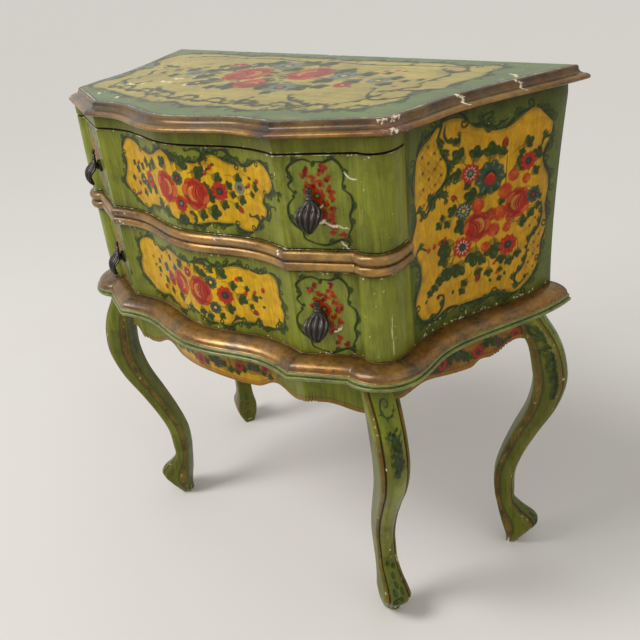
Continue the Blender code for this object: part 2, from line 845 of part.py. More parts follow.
def fit_apron(cutters, apron, ends):
    """Ends an apron at the cheeks of the two legs that it runs between."""
    corners = {name: (foot, away) for name, foot, away in leg_corners()}
    for corner, toward in ends.items():
        cutter = leg_cutter(cutters, f"{apron.name}_{corner}", *corners[corner], Vector(toward))
        boolean(apron, cutter, "DIFFERENCE")


def build_aprons(parts, cutters):
    """Shaped aprons on the front and sides and a plain one at the back, between the legs."""
    right, left, back, front = (1, 0, 0), (-1, 0, 0), (0, 1, 0), (0, -1, 0)
    stations = front_apron_run()
    reach_x = stations[-1](0).x
    drops = [apron_drop(FRONT_APRON_shares, abs(station(0).x) / reach_x) for station in stations]
    rings = [apron_ring(station, drop) for station, drop in zip(stations, drops)]
    apron = add(parts, "apron_front", lofted(rings), ochre_paint("apron_front"))
    fit_apron(cutters, apron, {"front_left": right, "front_right": left})
    start_y = column_centre(BASE_PLAN).y
    side = column_run(BASE_PLAN)[1:] + side_run(BASE_PLAN, BACK_Y, 4 * SIDE_STEPS)
    for hand, turn in (("left", mirrored), ("right", list)):
        rings = []
        for station in turn(side):
            share = max((station(0).y - start_y) / (BACK_Y - start_y), 0)
            rings.append(apron_ring(station, apron_drop(SIDE_APRON_shares, share)))
        apron = add(parts, f"apron_{hand}", lofted(rings), ochre_paint(f"apron_{hand}"))
        fit_apron(cutters, apron, {f"front_{hand}": back, f"rear_{hand}": front})
    back_y = BACK_Y - BACK_APRON_INSET
    plain = box(
        (-REAR_FOOT_X, back_y - APRON_THICKNESS, LEG_HEIGHT - GAP - BACK_APRON_DROP),
        (REAR_FOOT_X, back_y, LEG_HEIGHT - GAP),
    )
    apron = add(parts, "apron_back", plain, bare_wood("apron_back"))
    fit_apron(cutters, apron, {"rear_left": right, "rear_right": left})


def clear_scene():
    """Removes whatever the open scene holds."""
    for piece in list(bpy.data.objects):
        bpy.data.objects.remove(piece, do_unlink=True)


def main():
    """Builds the chest from its legs to its top."""
    clear_scene()
    parts = collection_named("serpentine_chest")
    cutters = collection_named("cutters")
    build_legs(parts)
    build_corner_blocks(parts)
    build_aprons(parts, cutters)
    build_boards(parts)
    build_side_panels(parts)
    build_back_panel(parts)
    build_rails(parts)
    build_runners(parts, cutters)
    build_drawer(parts, cutters, "lower", LOWER_FRONT_Z, LOWER_PULL_ALONG_WING)
    build_drawer(parts, cutters, "upper", UPPER_FRONT_Z, UPPER_PULL_ALONG_WING)
    middle_z = MIDDLE_RAIL_Z + (MIDDLE_RAIL_HEIGHT - MIDDLE_MOULDING_HEIGHT) / 2
    base = (BASE_MOULDING_REACH, BASE_HEIGHT, LEG_HEIGHT, base_profile())
    middle = (MIDDLE_MOULDING_REACH, MIDDLE_MOULDING_HEIGHT, middle_z, middle_profile())
    top = (TOP_MOULDING_REACH, TOP_THICKNESS, TOP_Z, top_profile())
    build_mouldings(parts, "base_moulding", lambda z: BASE_PLAN, *base)
    build_mouldings(parts, "middle_moulding", case_plan, *middle, wrapped=True)
    build_mouldings(parts, "top_moulding", lambda z: TOP_PLAN, *top)


main()
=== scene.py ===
"""The looks of a small painted serpentine chest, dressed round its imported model.

Lengths are in metres and +Z is up. Each painting is drawn on a canvas in millimetres, unrolled
from the boards that carry it, and reaches their meshes as a colour at every point.
"""

import logging
import math
from collections.abc import Callable, Sequence
from dataclasses import dataclass, field, fields, replace
from enum import Enum

import bmesh
import bpy
import numpy as np
from mathutils import Matrix, Vector


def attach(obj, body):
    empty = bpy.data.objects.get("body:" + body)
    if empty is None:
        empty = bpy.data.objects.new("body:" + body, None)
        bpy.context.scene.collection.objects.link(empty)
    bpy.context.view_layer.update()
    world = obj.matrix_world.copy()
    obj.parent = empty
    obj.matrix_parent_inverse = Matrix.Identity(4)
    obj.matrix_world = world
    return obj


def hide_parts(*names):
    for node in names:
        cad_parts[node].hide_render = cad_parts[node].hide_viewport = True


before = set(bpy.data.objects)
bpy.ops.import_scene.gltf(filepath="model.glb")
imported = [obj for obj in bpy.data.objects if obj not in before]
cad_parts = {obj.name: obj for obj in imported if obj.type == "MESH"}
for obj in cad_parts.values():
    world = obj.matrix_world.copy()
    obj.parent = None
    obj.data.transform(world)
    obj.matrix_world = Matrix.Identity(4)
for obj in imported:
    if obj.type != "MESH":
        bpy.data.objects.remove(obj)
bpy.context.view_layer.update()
REPORT = logging.getLogger("chest")

# Sizes of the case, as its solids have them
GAP = 0.0003
LEG_HEIGHT = 0.455
BASE_HEIGHT = 0.025
FRONT_HEIGHT = 0.1225
FLOOR_Z = 0.480
LOWER_FRONT_Z = 0.4815
MIDDLE_RAIL_Z = 0.6055
MIDDLE_RAIL_HEIGHT = 0.030
UPPER_FRONT_Z = 0.637
TOP_RAIL_Z = 0.7625
TOP_RAIL_HEIGHT = 0.0195
TOP_Z = 0.782
TOP_THICKNESS = 0.018
BACK_Y = 0.20365
PLANK_Y = BACK_Y - 0.300
WRAP_Y = BACK_Y - 0.262
WRAP_THICKNESS = 0.0195
SIDE_THICKNESS = 0.015
APRON_DROP = 0.061
APRON_PROUD = 0.005
APRON_THICKNESS = 0.016
KNEE_REACH = 0.080
KNEE_WIDTH = 0.053
CHEEK_SHARE = 0.28
PULL_RISE = 0.056
EASED = 0.0007
# How far a leg's own plane is turned from straight ahead, in degrees
LEG_TURN = 60
# Millimetres in a metre: the paintings are laid out in millimetres
MM = 1000


def ease(share: np.ndarray) -> np.ndarray:
    """A smooth step from 0 to 1 with level ends."""
    return (1 - np.cos(np.pi * share)) / 2


def blend(low: np.ndarray | float, high: np.ndarray | float, share: np.ndarray | float) -> np.ndarray | float:
    """The value that lies this share of the way from low to high."""
    return low + (high - low) * share


def hump(x: np.ndarray, at: float, width: float, power: int = 2) -> np.ndarray:
    """A soft bump that is 1 at a place; a higher even power gives it steeper sides."""
    return np.exp(-(((x - at) / width) ** power))


def outward(heading: float) -> np.ndarray:
    """The outward normal of a run along the plan with this heading."""
    return np.array((math.sin(heading), -math.cos(heading)))


def curved(points: Sequence, steps: int = 6, closed: bool = False) -> np.ndarray:
    """A smooth line through points.

    Args:
        points: The points, in any number of dimensions.
        steps: How many steps each stretch takes.
        closed: Whether the line returns to its start.

    Returns:
        The line's points, one row each.
    """
    rows = np.asarray(points, float)
    if closed:
        rows = np.vstack([rows[-1], rows, rows[:2]])
    else:
        rows = np.vstack([2 * rows[0] - rows[1], rows, 2 * rows[-1] - rows[-2]])
    before, start, stop, after = (rows[i : len(rows) - 3 + i, None] for i in range(4))
    t = (np.arange(steps) / steps)[None, :, None]
    bend = (2 * before - 5 * start + 4 * stop - after) * t**2
    line = (2 * start + (stop - before) * t + bend + (3 * start - before - 3 * stop + after) * t**3) / 2
    line = line.reshape(-1, rows.shape[1])
    return line if closed else np.vstack([line, rows[-2]])


def mottle(x: np.ndarray | float, y: np.ndarray | float, scale: float, seed: int) -> np.ndarray:
    """Soft random blotches from 0 to 1.

    Args:
        x: Places across.
        y: Places up.
        scale: The size of a blotch.
        seed: Which pattern.

    Returns:
        A value for each place.
    """
    count = 64
    grid = np.random.default_rng(seed).random((count, count))
    u, v = np.asarray(x) / scale, np.asarray(y) / scale
    i, j = np.floor(u).astype(int), np.floor(v).astype(int)
    across, up = ease(u - i), ease(v - j)
    corners = [grid[(j + b) % count, (i + a) % count] for b in (0, 1) for a in (0, 1)]
    low = corners[0] * (1 - across) + corners[1] * across
    high = corners[2] * (1 - across) + corners[3] * across
    return low * (1 - up) + high * up


@dataclass(frozen=True)
class Plan:
    """The right half of a board's outline seen from above; each depth is measured from the back."""

    crest: float = 0.373
    flank_x: float = 0.135
    flank: float = 0.350
    notch_x: float = 0.191
    notch: float = 0.357
    wing_slope: float = 0.43
    column_x: float = 0.319
    column_radius: float = 0.028
    column_bulge: float = 0.0142
    waist_x: float = 0.3125
    waist: float = 0.235
    rear_x: float = 0.374
    rear_lean: float = 0.0

    @property
    def heading(self) -> float:
        """The heading of the straight wing."""
        return math.atan(self.wing_slope)

    @property
    def column_centre(self) -> np.ndarray:
        """The centre of the corner column, which stands proud of the wing by its bulge.

        Returns:
            Its x and y.
        """
        normal = outward(self.heading)
        x = self.column_x - self.column_radius
        inside = self.column_radius - self.column_bulge
        return np.array((x, BACK_Y - self.notch - (inside + (x - self.notch_x) * normal[0]) / normal[1]))

    def centre(self, share: np.ndarray, offset: float) -> np.ndarray:
        """The swelling centre of the plan.

        Args:
            share: How far across it, from the crest at 0 to the mitred notch at 1.
            offset: How far outside the plan.

        Returns:
            A point for each share, one row each.
        """
        x = self.notch_x * share
        inner = x <= self.flank_x
        run = self.notch_x - self.flank_x
        along = np.where(inner, x / self.flank_x, (x - self.flank_x) / run)
        swell = self.crest + (self.flank - self.crest) * ease(along)
        depth = np.where(inner, swell, self.flank + (self.notch - self.flank) * along**2)
        inner_slope = (self.crest - self.flank) * np.sin(np.pi * along) * np.pi / 2 / self.flank_x
        slope = np.where(inner, inner_slope, (self.flank - self.notch) * 2 * along / run)
        angle = np.arctan(slope)
        normal = np.stack([np.sin(angle), -np.cos(angle)], -1)
        mitre = normal + outward(self.heading)
        mitre = mitre / (1 + normal @ outward(self.heading))[:, None]
        normal = np.where((share >= 1)[:, None], mitre, normal)
        return np.stack([x, BACK_Y - depth], -1) + offset * normal

    def column(self, share: np.ndarray, offset: float) -> np.ndarray:
        """The corner column, an arc that meets the wing in a crease.

        Args:
            share: How far round it, from the crease at 0 to the side at 1.
            offset: How far outside the plan.

        Returns:
            A point for each share, one row each.
        """
        inside = self.column_radius - self.column_bulge + offset
        across = math.acos(min(inside / (self.column_radius + offset), 1))
        angle = (self.heading - math.pi / 2 - across) * (1 - share)
        reach = self.column_radius + offset
        return self.column_centre + reach * np.stack([np.cos(angle), np.sin(angle)], -1)

    def side(self, y: np.ndarray, offset: float) -> np.ndarray:
        """The hollowed side.

        Args:
            y: Places from the corner column to the back; the last stays in its own upright plane.
            offset: How far outside the plan.

        Returns:
            A point for each y, one row each.
        """
        start, waist_y = self.column_centre[1], BACK_Y - self.waist
        share = (y - start) / (waist_y - start)
        swing = self.waist_x - self.column_x
        front_x = self.column_x + swing * ease(share)
        front_slope = swing * np.sin(np.pi * share) * np.pi / 2 / (waist_y - start)
        share = (y - waist_y) / self.waist
        swing, lean = self.rear_x - self.waist_x, self.rear_lean
        rear_x = self.waist_x + swing * share**2 * (3 - lean + (lean - 2) * share)
        rear_slope = swing * share * (6 - 2 * lean + 3 * (lean - 2) * share) / self.waist
        x = np.where(y < waist_y, front_x, rear_x)
        heading = np.arctan2(1, np.where(y < waist_y, front_slope, rear_slope))
        shift = np.stack([np.sin(heading), -np.cos(heading)], -1)
        shift[-1] = (1 / math.sin(heading[-1]), 0)
        return np.stack([x, y], -1) + offset * shift

    def half(self, steps: tuple[int, int, int, int], stop_y: float, offset: float = 0.0) -> np.ndarray:
        """The outline from the crest round to the plane y = stop_y.

        Args:
            steps: Steps of the centre, wing, column and side.
            stop_y: Where the side stops.
            offset: How far outside the plan.

        Returns:
            The points, one row each.
        """
        centre = self.centre(np.linspace(0, 1, steps[0] + 1), offset)
        column = self.column(np.linspace(0, 1, steps[2] + 1), offset)
        share = np.linspace(0, 1, steps[1] + 1)[1:-1, None]
        wing = centre[-1] + (column[0] - centre[-1]) * share
        side = self.side(np.linspace(self.column_centre[1], stop_y, steps[3] + 1)[1:], offset)
        return np.vstack([centre, wing, column, side])


BASE_PLAN = Plan()
HEAD_PLAN = replace(BASE_PLAN, column_x=0.328, column_bulge=0.0068, waist_x=0.318, rear_x=0.398)
TOP_PLAN = Plan(
    crest=0.3715,
    flank=0.345,
    notch_x=0.189,
    notch=0.347,
    column_x=0.323,
    column_radius=0.020,
    column_bulge=0.0,
    waist_x=0.330,
    rear_x=0.406,
    rear_lean=1.0,
)


def case_plan(z: float) -> Plan:
    """The case's plan, which widens from its base to its head.

    Args:
        z: The height.

    Returns:
        The plan there.
    """
    share = min(max((z - FLOOR_Z) / (TOP_RAIL_Z - FLOOR_Z), 0), 1) ** 1.6
    names = [item.name for item in fields(Plan)]
    return Plan(*(blend(getattr(BASE_PLAN, name), getattr(HEAD_PLAN, name), share) for name in names))


def arc_length(points: np.ndarray) -> np.ndarray:
    """How far along a line each of its points lies."""
    return np.concatenate([[0], np.cumsum(np.hypot(*np.diff(points, axis=0).T))])


def whole(half: np.ndarray) -> np.ndarray:
    """Both halves of something symmetric.

    Args:
        half: Its right half, which starts in the middle; x is the first of each point's numbers.

    Returns:
        The left half mirrored, then the right.
    """
    left = half[:0:-1].copy()
    left[..., 0] *= -1
    return np.concatenate([left, half])


def at_height(line: np.ndarray, z: np.ndarray | float) -> np.ndarray:
    """A flat line's points at one height, or each at its own."""
    return np.column_stack([line, np.broadcast_to(z, len(line))])


def linear(screen: Sequence[float]) -> np.ndarray:
    """A screen colour, 0 to 255, as linear light."""
    share = np.asarray(screen, float) / 255
    return np.where(share <= 0.04045, share / 12.92, ((share + 0.055) / 1.055) ** 2.4)


def rgba(screen: Sequence[float]) -> tuple[float, float, float, float]:
    """A screen colour as a shader takes it."""
    return (*(float(x) for x in linear(screen)), 1.0)


def add_object(name: str, data: bpy.types.ID | None) -> bpy.types.Object:
    """Puts a new object in the scene.

    Args:
        name: Its name.
        data: Its mesh, light or camera.

    Returns:
        The object.
    """
    thing = bpy.data.objects.new(name, data)
    bpy.context.scene.collection.objects.link(thing)
    return thing


class Pigment(Enum):
    """The painter's colours and the metals and woods beside them, as screen colours."""

    OLIVE = (126, 131, 34)
    MEADOW = (142, 151, 62)
    MOSS = (78, 90, 12)
    FERN = (92, 102, 30)
    FOREST = (46, 62, 10)
    INK = (28, 38, 16)
    SEA = (126, 134, 50)
    SAGE = (104, 124, 70)
    YELLOW = (212, 164, 4)
    AMBER = (176, 118, 8)
    OCHRE = (206, 154, 14)
    STRAW = (184, 166, 82)
    RED = (170, 34, 10)
    CRIMSON = (112, 14, 10)
    CORAL = (200, 84, 26)
    RUST = (164, 48, 12)
    CREAM = (226, 176, 84)
    TEAL = (54, 72, 48)
    SLATE = (28, 34, 34)
    MIST = (112, 128, 104)
    GESSO = (226, 214, 184)
    GOLD = (142, 98, 32)
    # Pale brass for rubbed gilding and for a painted highlight along the crests
    BRASS_RUB_AND_HIGHLIGHT = (222, 182, 108)
    UMBER = (78, 58, 32)
    WALNUT = (46, 34, 22)
    BOLE = (112, 70, 44)

    @property
    def light(self) -> np.ndarray:
        """The colour as linear light."""
        return linear(self.value)

    @property
    def rgba(self) -> tuple[float, float, float, float]:
        """The colour as a shader takes it."""
        return rgba(self.value)


def tint(paint: np.ndarray, light: np.ndarray, share: np.ndarray | float) -> None:
    """Moves the colours of painted points, in place, some way to another.

    Args:
        paint: Rows of red, green, blue and, where there is one, a fourth value that stays.
        light: The other colour, as linear light.
        share: How far each point goes, 0 to 1.
    """
    paint[..., :3] += (light - paint[..., :3]) * np.asarray(share)[..., None]


class Canvas:
    """A painting in the making, its places in millimetres.

    FINENESS is how many dots a millimetre has, SEED starts the painter's chances, SHIFT moves the
    blotches of age, and SHADES says what lies between a daisy's petals.
    """

    FINENESS = 2.0
    SEED = 7
    SHIFT = 1000
    SHADES = {
        Pigment.RED: Pigment.CRIMSON,
        Pigment.RUST: Pigment.RUST,
        Pigment.TEAL: Pigment.SLATE,
        Pigment.MIST: Pigment.SLATE,
    }

    def __init__(self, low: tuple[float, float], high: tuple[float, float], ground: Pigment) -> None:
        """Lays the ground.

        Args:
            low: The lower left corner.
            high: The upper right corner.
            ground: The colour of the ground.
        """
        counts = [int((b - a) * self.FINENESS) + 1 for a, b in zip(low, high)]
        self.low = low
        self.xs = low[0] + np.arange(counts[0]) / self.FINENESS
        self.ys = low[1] + np.arange(counts[1]) / self.FINENESS
        self.colour = np.empty((counts[1], counts[0], 3))
        self.colour[:] = ground.light
        self.bare = np.zeros(self.colour.shape[:2])
        self.rng = np.random.default_rng(self.SEED)

    def window(self, x0: float, y0: float, x1: float, y1: float) -> tuple[slice, slice]:
        """The part of the grid inside a box.

        Args:
            x0: Its left edge.
            y0: Its lower edge.
            x1: Its right edge.
            y1: Its upper edge.

        Returns:
            The rows and the columns.
        """
        spans = []
        sides = ((y0, y1, self.low[1], len(self.ys)), (x0, x1, self.low[0], len(self.xs)))
        for low, high, start, count in sides:
            first = min(max(int((low - start) * self.FINENESS), 0), count)
            spans.append(slice(first, max(min(int((high - start) * self.FINENESS) + 2, count), first)))
        return spans[0], spans[1]

    def lay(self, window: tuple[slice, slice], mask: np.ndarray, pigment: Pigment, bare: float = 0.0) -> None:
        """Covers a window with a pigment.

        Args:
            window: The rows and the columns.
            mask: How far each dot is covered.
            pigment: The pigment.
            bare: How far it bares the ground.
        """
        tint(self.colour[window], pigment.light, mask)
        self.bare[window] += (bare - self.bare[window]) * mask

    def fill(self, outline: Sequence, pigment: Pigment, strength: float = 1.0) -> None:
        """Fills a smooth closed outline.

        Args:
            outline: Points that it passes through.
            pigment: The pigment.
            strength: How much of the ground it hides.
        """
        line = curved(outline, closed=True)
        ends = np.roll(line, -1, axis=0)
        window = self.window(*(line.min(0) - 2), *(line.max(0) + 2))
        xs, ys = self.xs[window[1]], self.ys[window[0]]
        mask = np.zeros((len(ys), len(xs)))
        for row, y in enumerate(ys):
            crossed = (line[:, 1] <= y) != (ends[:, 1] <= y)
            a, b = line[crossed], ends[crossed]
            cuts = np.sort(a[:, 0] + (b[:, 0] - a[:, 0]) * (y - a[:, 1]) / (b[:, 1] - a[:, 1]))
            mask[row] = np.searchsorted(cuts, xs) % 2
        padded = np.pad(mask, 1, mode="edge")
        rows, columns = mask.shape
        mask = sum(padded[i : i + rows, j : j + columns] for i in range(3) for j in range(3)) / 9
        self.lay(window, mask * strength, pigment)

    def panel(self, low: tuple[float, float], high: tuple[float, float], pigment: Pigment, strength: float) -> None:
        """Fills a panel with rounded edges.

        Args:
            low: One corner.
            high: The corner across from it.
            pigment: The pigment.
            strength: How much of the ground it hides.
        """
        self.fill([low, (high[0], low[1]), high, (low[0], high[1])], pigment, strength)

    def stroke(
        self,
        path: Sequence,
        width: float,
        pigment: Pigment,
        taper: tuple[float, ...] = (0.4, 1.0, 0.4),
        bare: float = 0.0,
        steps: int = 5,
        strength: float = 1.0,
        sharp: float = 1.6,
    ) -> None:
        """Draws a line that swells and thins.

        Args:
            path: Points that it passes through.
            width: Its full width.
            pigment: Its colour.
            taper: Shares of the width from start to end.
            bare: How far it bares the ground.
            steps: Steps between two points.
            strength: How much of the ground it hides.
            sharp: How crisp its edge is.
        """
        line = curved(path, steps)
        shares = np.linspace(0, 1, len(line))
        widths = width / 2 * np.interp(shares, np.linspace(0, 1, len(taper)), taper)
        for a, b, wide, wide_end in zip(line, line[1:], widths, widths[1:]):
            reach = max(wide, wide_end) + 1 / sharp
            window = self.window(*(np.minimum(a, b) - reach), *(np.maximum(a, b) + reach))
            x = self.xs[window[1]][None] - a[0]
            y = self.ys[window[0]][:, None] - a[1]
            run = b - a
            t = np.clip((x * run[0] + y * run[1]) / max(run @ run, 1e-9), 0, 1)
            away = np.hypot(x - t * run[0], y - t * run[1])
            mask = np.clip((wide + (wide_end - wide) * t - away) * sharp + 0.5, 0, 1)
            self.lay(window, mask * strength, pigment, bare)

    def dab(
        self,
        place: tuple[float, float],
        size: tuple[float, float],
        turn: float,
        pigment: Pigment,
        point: float = 0.0,
        strength: float = 1.0,
    ) -> None:
        """An oval touch of the brush.

        Args:
            place: Its middle.
            size: Its length and width.
            turn: The heading of its length, in degrees.
            pigment: Its colour.
            point: How far it is drawn out to a tip, 0 to 1.
            strength: How much of the ground it hides.
        """
        reach = max(size) / 2 + 1
        window = self.window(place[0] - reach, place[1] - reach, place[0] + reach, place[1] + reach)
        x = self.xs[window[1]][None] - place[0]
        y = self.ys[window[0]][:, None] - place[1]
        angle = math.radians(turn)
        u = (x * math.cos(angle) + y * math.sin(angle)) / (size[0] / 2)
        v = (y * math.cos(angle) - x * math.sin(angle)) / (size[1] / 2)
        v = v / (1 - point * 0.75 * np.clip(u, -1, 1))
        mask = np.clip((1 - np.hypot(u, v)) * min(size) * 0.8 + 0.5, 0, 1)
        self.lay(window, mask * strength, pigment)

    @staticmethod
    def around(place: tuple[float, float], reach: float, turn: float) -> tuple[float, float]:
        """The place at this reach and heading in degrees from another."""
        angle = math.radians(turn)
        return place[0] + reach * math.cos(angle), place[1] + reach * math.sin(angle)

    @staticmethod
    def heading(run: Sequence[float]) -> float:
        """The heading of a run, in degrees."""
        return math.degrees(math.atan2(run[1], run[0]))

    @staticmethod
    def arrange(motif: Callable[..., None], rows: Sequence[tuple]) -> None:
        """Paints a motif at each row's place, with what else the row says."""
        for x, y, *rest in rows:
            motif((x, y), *rest)

    def somewhere(self, low: tuple[float, float], high: tuple[float, float]) -> tuple[float, ...]:
        """A chance place in a box."""
        return tuple(self.rng.uniform(a, b) for a, b in zip(low, high))

    def pick(self, *pigments: Pigment) -> Pigment:
        """A chance pigment of a few."""
        return pigments[int(self.rng.integers(len(pigments)))]

    def leaf(self, place: tuple[float, float], length: float, turn: float, dark: bool = True) -> None:
        """A leaf of two touches, one half lighter than the other.

        Args:
            place: Its middle.
            length: Its length.
            turn: The heading of its tip, in degrees.
            dark: Whether it lies in the bouquet's shade.
        """
        outer, inner = (Pigment.FOREST, Pigment.MOSS) if dark else (Pigment.MOSS, Pigment.MEADOW)
        self.dab(place, (length, length * 0.76), turn, outer, 0.15)
        half = self.around(place, length * 0.13, turn + 90)
        self.dab(half, (length * 0.62, length * 0.26), turn, inner, 0.3, 0.7)

    def spray(self, leaves: Sequence[tuple[float, float, float]], near: tuple[float, float]) -> None:
        """Leaves on stalks that point away from a place.

        Args:
            leaves: Each one's place and length.
            near: The place that they point away from.
        """
        for x, y, length in leaves:
            length *= 1.22
            large = length > 7
            away = math.hypot(x - near[0], y - near[1])
            turn = self.heading((x - near[0], y - near[1])) + self.rng.uniform(-35, 35)
            root = self.around((x, y), min(away * 0.3, length * 1.8), turn + 180)
            self.stroke([root, self.around(root, length * 0.7, turn + 14), (x, y)], length * 0.09, Pigment.FOREST)
            if large:
                self.dab((x, y), (length * 1.15, length), turn, Pigment.FOREST, 0, 0.6)
            for side in (-62, 0, 62) if large else (0,):
                small = length * (0.86 if side else 1.05)
                self.leaf(self.around((x, y), length * 0.40, turn + side), small, turn + side, large or side == 0)

    def berry(self, place: tuple[float, float], size: float) -> None:
        """A small round bud with a light on it."""
        self.dab(place, (size, size * 0.85), 60, Pigment.RED)
        self.dab(self.around(place, size * 0.18, 130), (size * 0.35, size * 0.25), 40, Pigment.CORAL)

    def bud(self, place: tuple[float, float], size: float, turn: float) -> None:
        """A closed bud between two sepals, on a short stalk.

        Args:
            place: Its middle.
            size: Its length.
            turn: The heading of its tip, in degrees.
        """
        foot = self.around(place, -size * 1.3, turn)
        self.stroke([foot, self.around(place, -size * 0.5, turn + 12), place], size * 0.14, Pigment.FOREST)
        self.dab(place, (size, size * 0.62), turn, Pigment.RED, 0.5)
        base = self.around(place, -size * 0.12, turn)
        for side in (-90, 90):
            sepal = self.around(base, size * 0.28, turn + side)
            self.dab(sepal, (size * 0.9, size * 0.22), turn, Pigment.FOREST, 0.5)

    def daisy(
        self,
        place: tuple[float, float],
        size: float,
        petals: Pigment = Pigment.RED,
        heart: Pigment = Pigment.TEAL,
        stamens: bool = False,
        shade: Pigment | None = None,
    ) -> None:
        """An open flower of single petals.

        Args:
            place: Its middle.
            size: Its width.
            petals: The petals' colour.
            heart: The colour of its middle.
            stamens: Whether white stamens ring the heart.
            shade: The colour between the petals, or None for the one that goes with them.
        """
        self.dab(place, (size * 0.94, size * 0.9), 0, shade or self.SHADES[petals], 0, 0.9)
        count, start = 9, self.rng.uniform(0, 40)
        light = Pigment.CORAL if petals in (Pigment.RED, Pigment.RUST) else Pigment.MIST
        for i in range(count):
            turn = start + 360 * i / count
            petal = (size * self.rng.uniform(0.36, 0.44), size * 0.24)
            self.dab(self.around(place, size * 0.33, turn), petal, turn, petals, -0.3)
            self.dab(self.around(place, size * 0.40, turn + 5), (size * 0.17, size * 0.06), turn, light, 0, 0.55)
        self.dab(place, (size * 0.42, size * 0.40), 0, Pigment.SLATE)
        self.dab(place, (size * 0.25, size * 0.23), 0, heart)
        count = 11 if stamens else 0
        for i in range(count):
            turn = 360 * i / count + 10
            self.dab(self.around(place, size * 0.27, turn), (size * 0.15, size * 0.045), turn, Pigment.GESSO)

    def rose(self, place: tuple[float, float], size: float, turn: float, pale: Pigment = Pigment.CREAM) -> None:
        """A full rose: loose outer petals, a dark heart and pale crescents along one side.

        Args:
            place: Its middle.
            size: Its width.
            turn: The side that the light petals face, in degrees.
            pale: The colour of the crescents.
        """
        for i in range(8):
            heading = turn + 20 + 45 * i
            pigment = (Pigment.RED, Pigment.RUST, Pigment.RED, Pigment.CORAL)[i % 4]
            petal = self.around(place, size * 0.33, heading)
            self.dab(petal, (size * 0.42, size * 0.32), heading + 75, Pigment.CRIMSON, 0, 0.7)
            self.dab(petal, (size * 0.38, size * 0.27), heading + 75, pigment)
            rim = [self.around(place, size * 0.43, heading + a) for a in (-16, 0, 16)]
            self.stroke(rim, size * 0.035, Pigment.CORAL, strength=0.7)
        self.dab(place, (size * 0.70, size * 0.60), turn + 90, Pigment.CRIMSON, 0, 0.8)
        self.dab(place, (size * 0.64, size * 0.54), turn + 90, Pigment.RED)
        heart = self.around(place, size * 0.10, turn + 180)
        self.dab(heart, (size * 0.44, size * 0.32), turn + 90, Pigment.CRIMSON)
        self.dab(self.around(heart, size * 0.05, turn + 180), (size * 0.34, size * 0.22), turn + 90, Pigment.RED)
        crescents = (
            (0.235, 0.075, Pigment.AMBER),
            (0.185, 0.090, pale),
            (0.205, 0.022, Pigment.RUST),
            (0.165, 0.018, Pigment.CORAL),
            (0.130, 0.040, Pigment.CORAL),
            (0.035, 0.030, Pigment.CORAL),
            (-0.06, 0.025, Pigment.CORAL),
        )
        for reach, width, pigment in crescents:
            middle = self.around(place, size * (reach - 0.24), turn)
            line = [self.around(middle, size * 0.24, turn + a) for a in (-72, -36, 0, 36, 72)]
            self.stroke(line, size * width, pigment, (0.1, 0.9, 1.1, 0.9, 0.1))

    def curl(
        self, place: tuple[float, float], turn: float, size: float, hand: int, pigment: Pigment, width: float
    ) -> None:
        """The rolled end of a scroll.

        Args:
            place: Where the scroll comes in.
            turn: Its heading there, in degrees.
            size: The width of the roll.
            hand: 1 to roll to the left and -1 to the right.
            pigment: Its colour.
            width: The line's full width.
        """
        path = [place]
        for i in range(9):
            turn += hand * 38
            path.append(self.around(path[-1], size * 0.32 * (1 - 0.075 * i), turn - hand * 19))
        self.stroke(path, width, pigment, (1, 0.8, 0.5), steps=3)
        self.dab(path[-1], (width * 1.5, width * 1.3), 0, pigment)

    def scroll(
        self,
        path: Sequence,
        width: float,
        curls: tuple[float, float],
        lobes: int = 0,
        pigment: Pigment = Pigment.FOREST,
    ) -> None:
        """A C-scroll or S-scroll with rolled ends and, if asked, leaf lobes at its back.

        Args:
            path: Points that it passes through.
            width: The line's full width.
            curls: Widths of the rolls at start and end; a minus sign rolls it to the right.
            lobes: How many lobes stand at its back.
            pigment: Its colour.
        """
        line = curved(path)
        self.stroke(line[::2], width * 2.4, Pigment.MOSS, (0.4, 1, 0.4), steps=2, strength=0.20, sharp=1.0)
        self.stroke(line[::2], width * 1.35, pigment, (0.5, 1.3, 1.0, 0.6), steps=2)
        self.stroke(self.beside(line[::3], -width * 0.35), width * 0.65, Pigment.INK, (0.2, 1, 1, 0.4), steps=2)
        for at, before, size in ((line[0], line[1], curls[0]), (line[-1], line[-2], curls[1])):
            if size:
                hand = 1 if size > 0 else -1
                self.curl(tuple(at), self.heading(at - before), abs(size), hand, pigment, width * 0.9)
        for i in range(lobes):
            at = (i + 1) * (len(line) - 1) // (lobes + 1)
            turn = self.heading(line[min(at + 1, len(line) - 1)] - line[at - 1])
            for k, grow in enumerate((1.0, 0.8, 0.6)):
                lean = turn + 70 - 28 * k
                place = self.around(tuple(line[at]), width * (1.2 + 0.9 * k), lean)
                self.dab(place, (width * 4.4 * grow, width * 2.0 * grow), lean - 12, pigment, 0.5)
                self.dab(place, (width * 2.8 * grow, width * 0.6 * grow), lean - 12, Pigment.FERN, 0.5, 0.8)

    @staticmethod
    def beside(line: np.ndarray, shift: float) -> np.ndarray:
        """A line moved over to its left."""
        run = np.gradient(line, axis=0)
        return line + np.stack([-run[:, 1], run[:, 0]], -1) * shift / np.maximum(np.hypot(*run.T), 1e-6)[:, None]

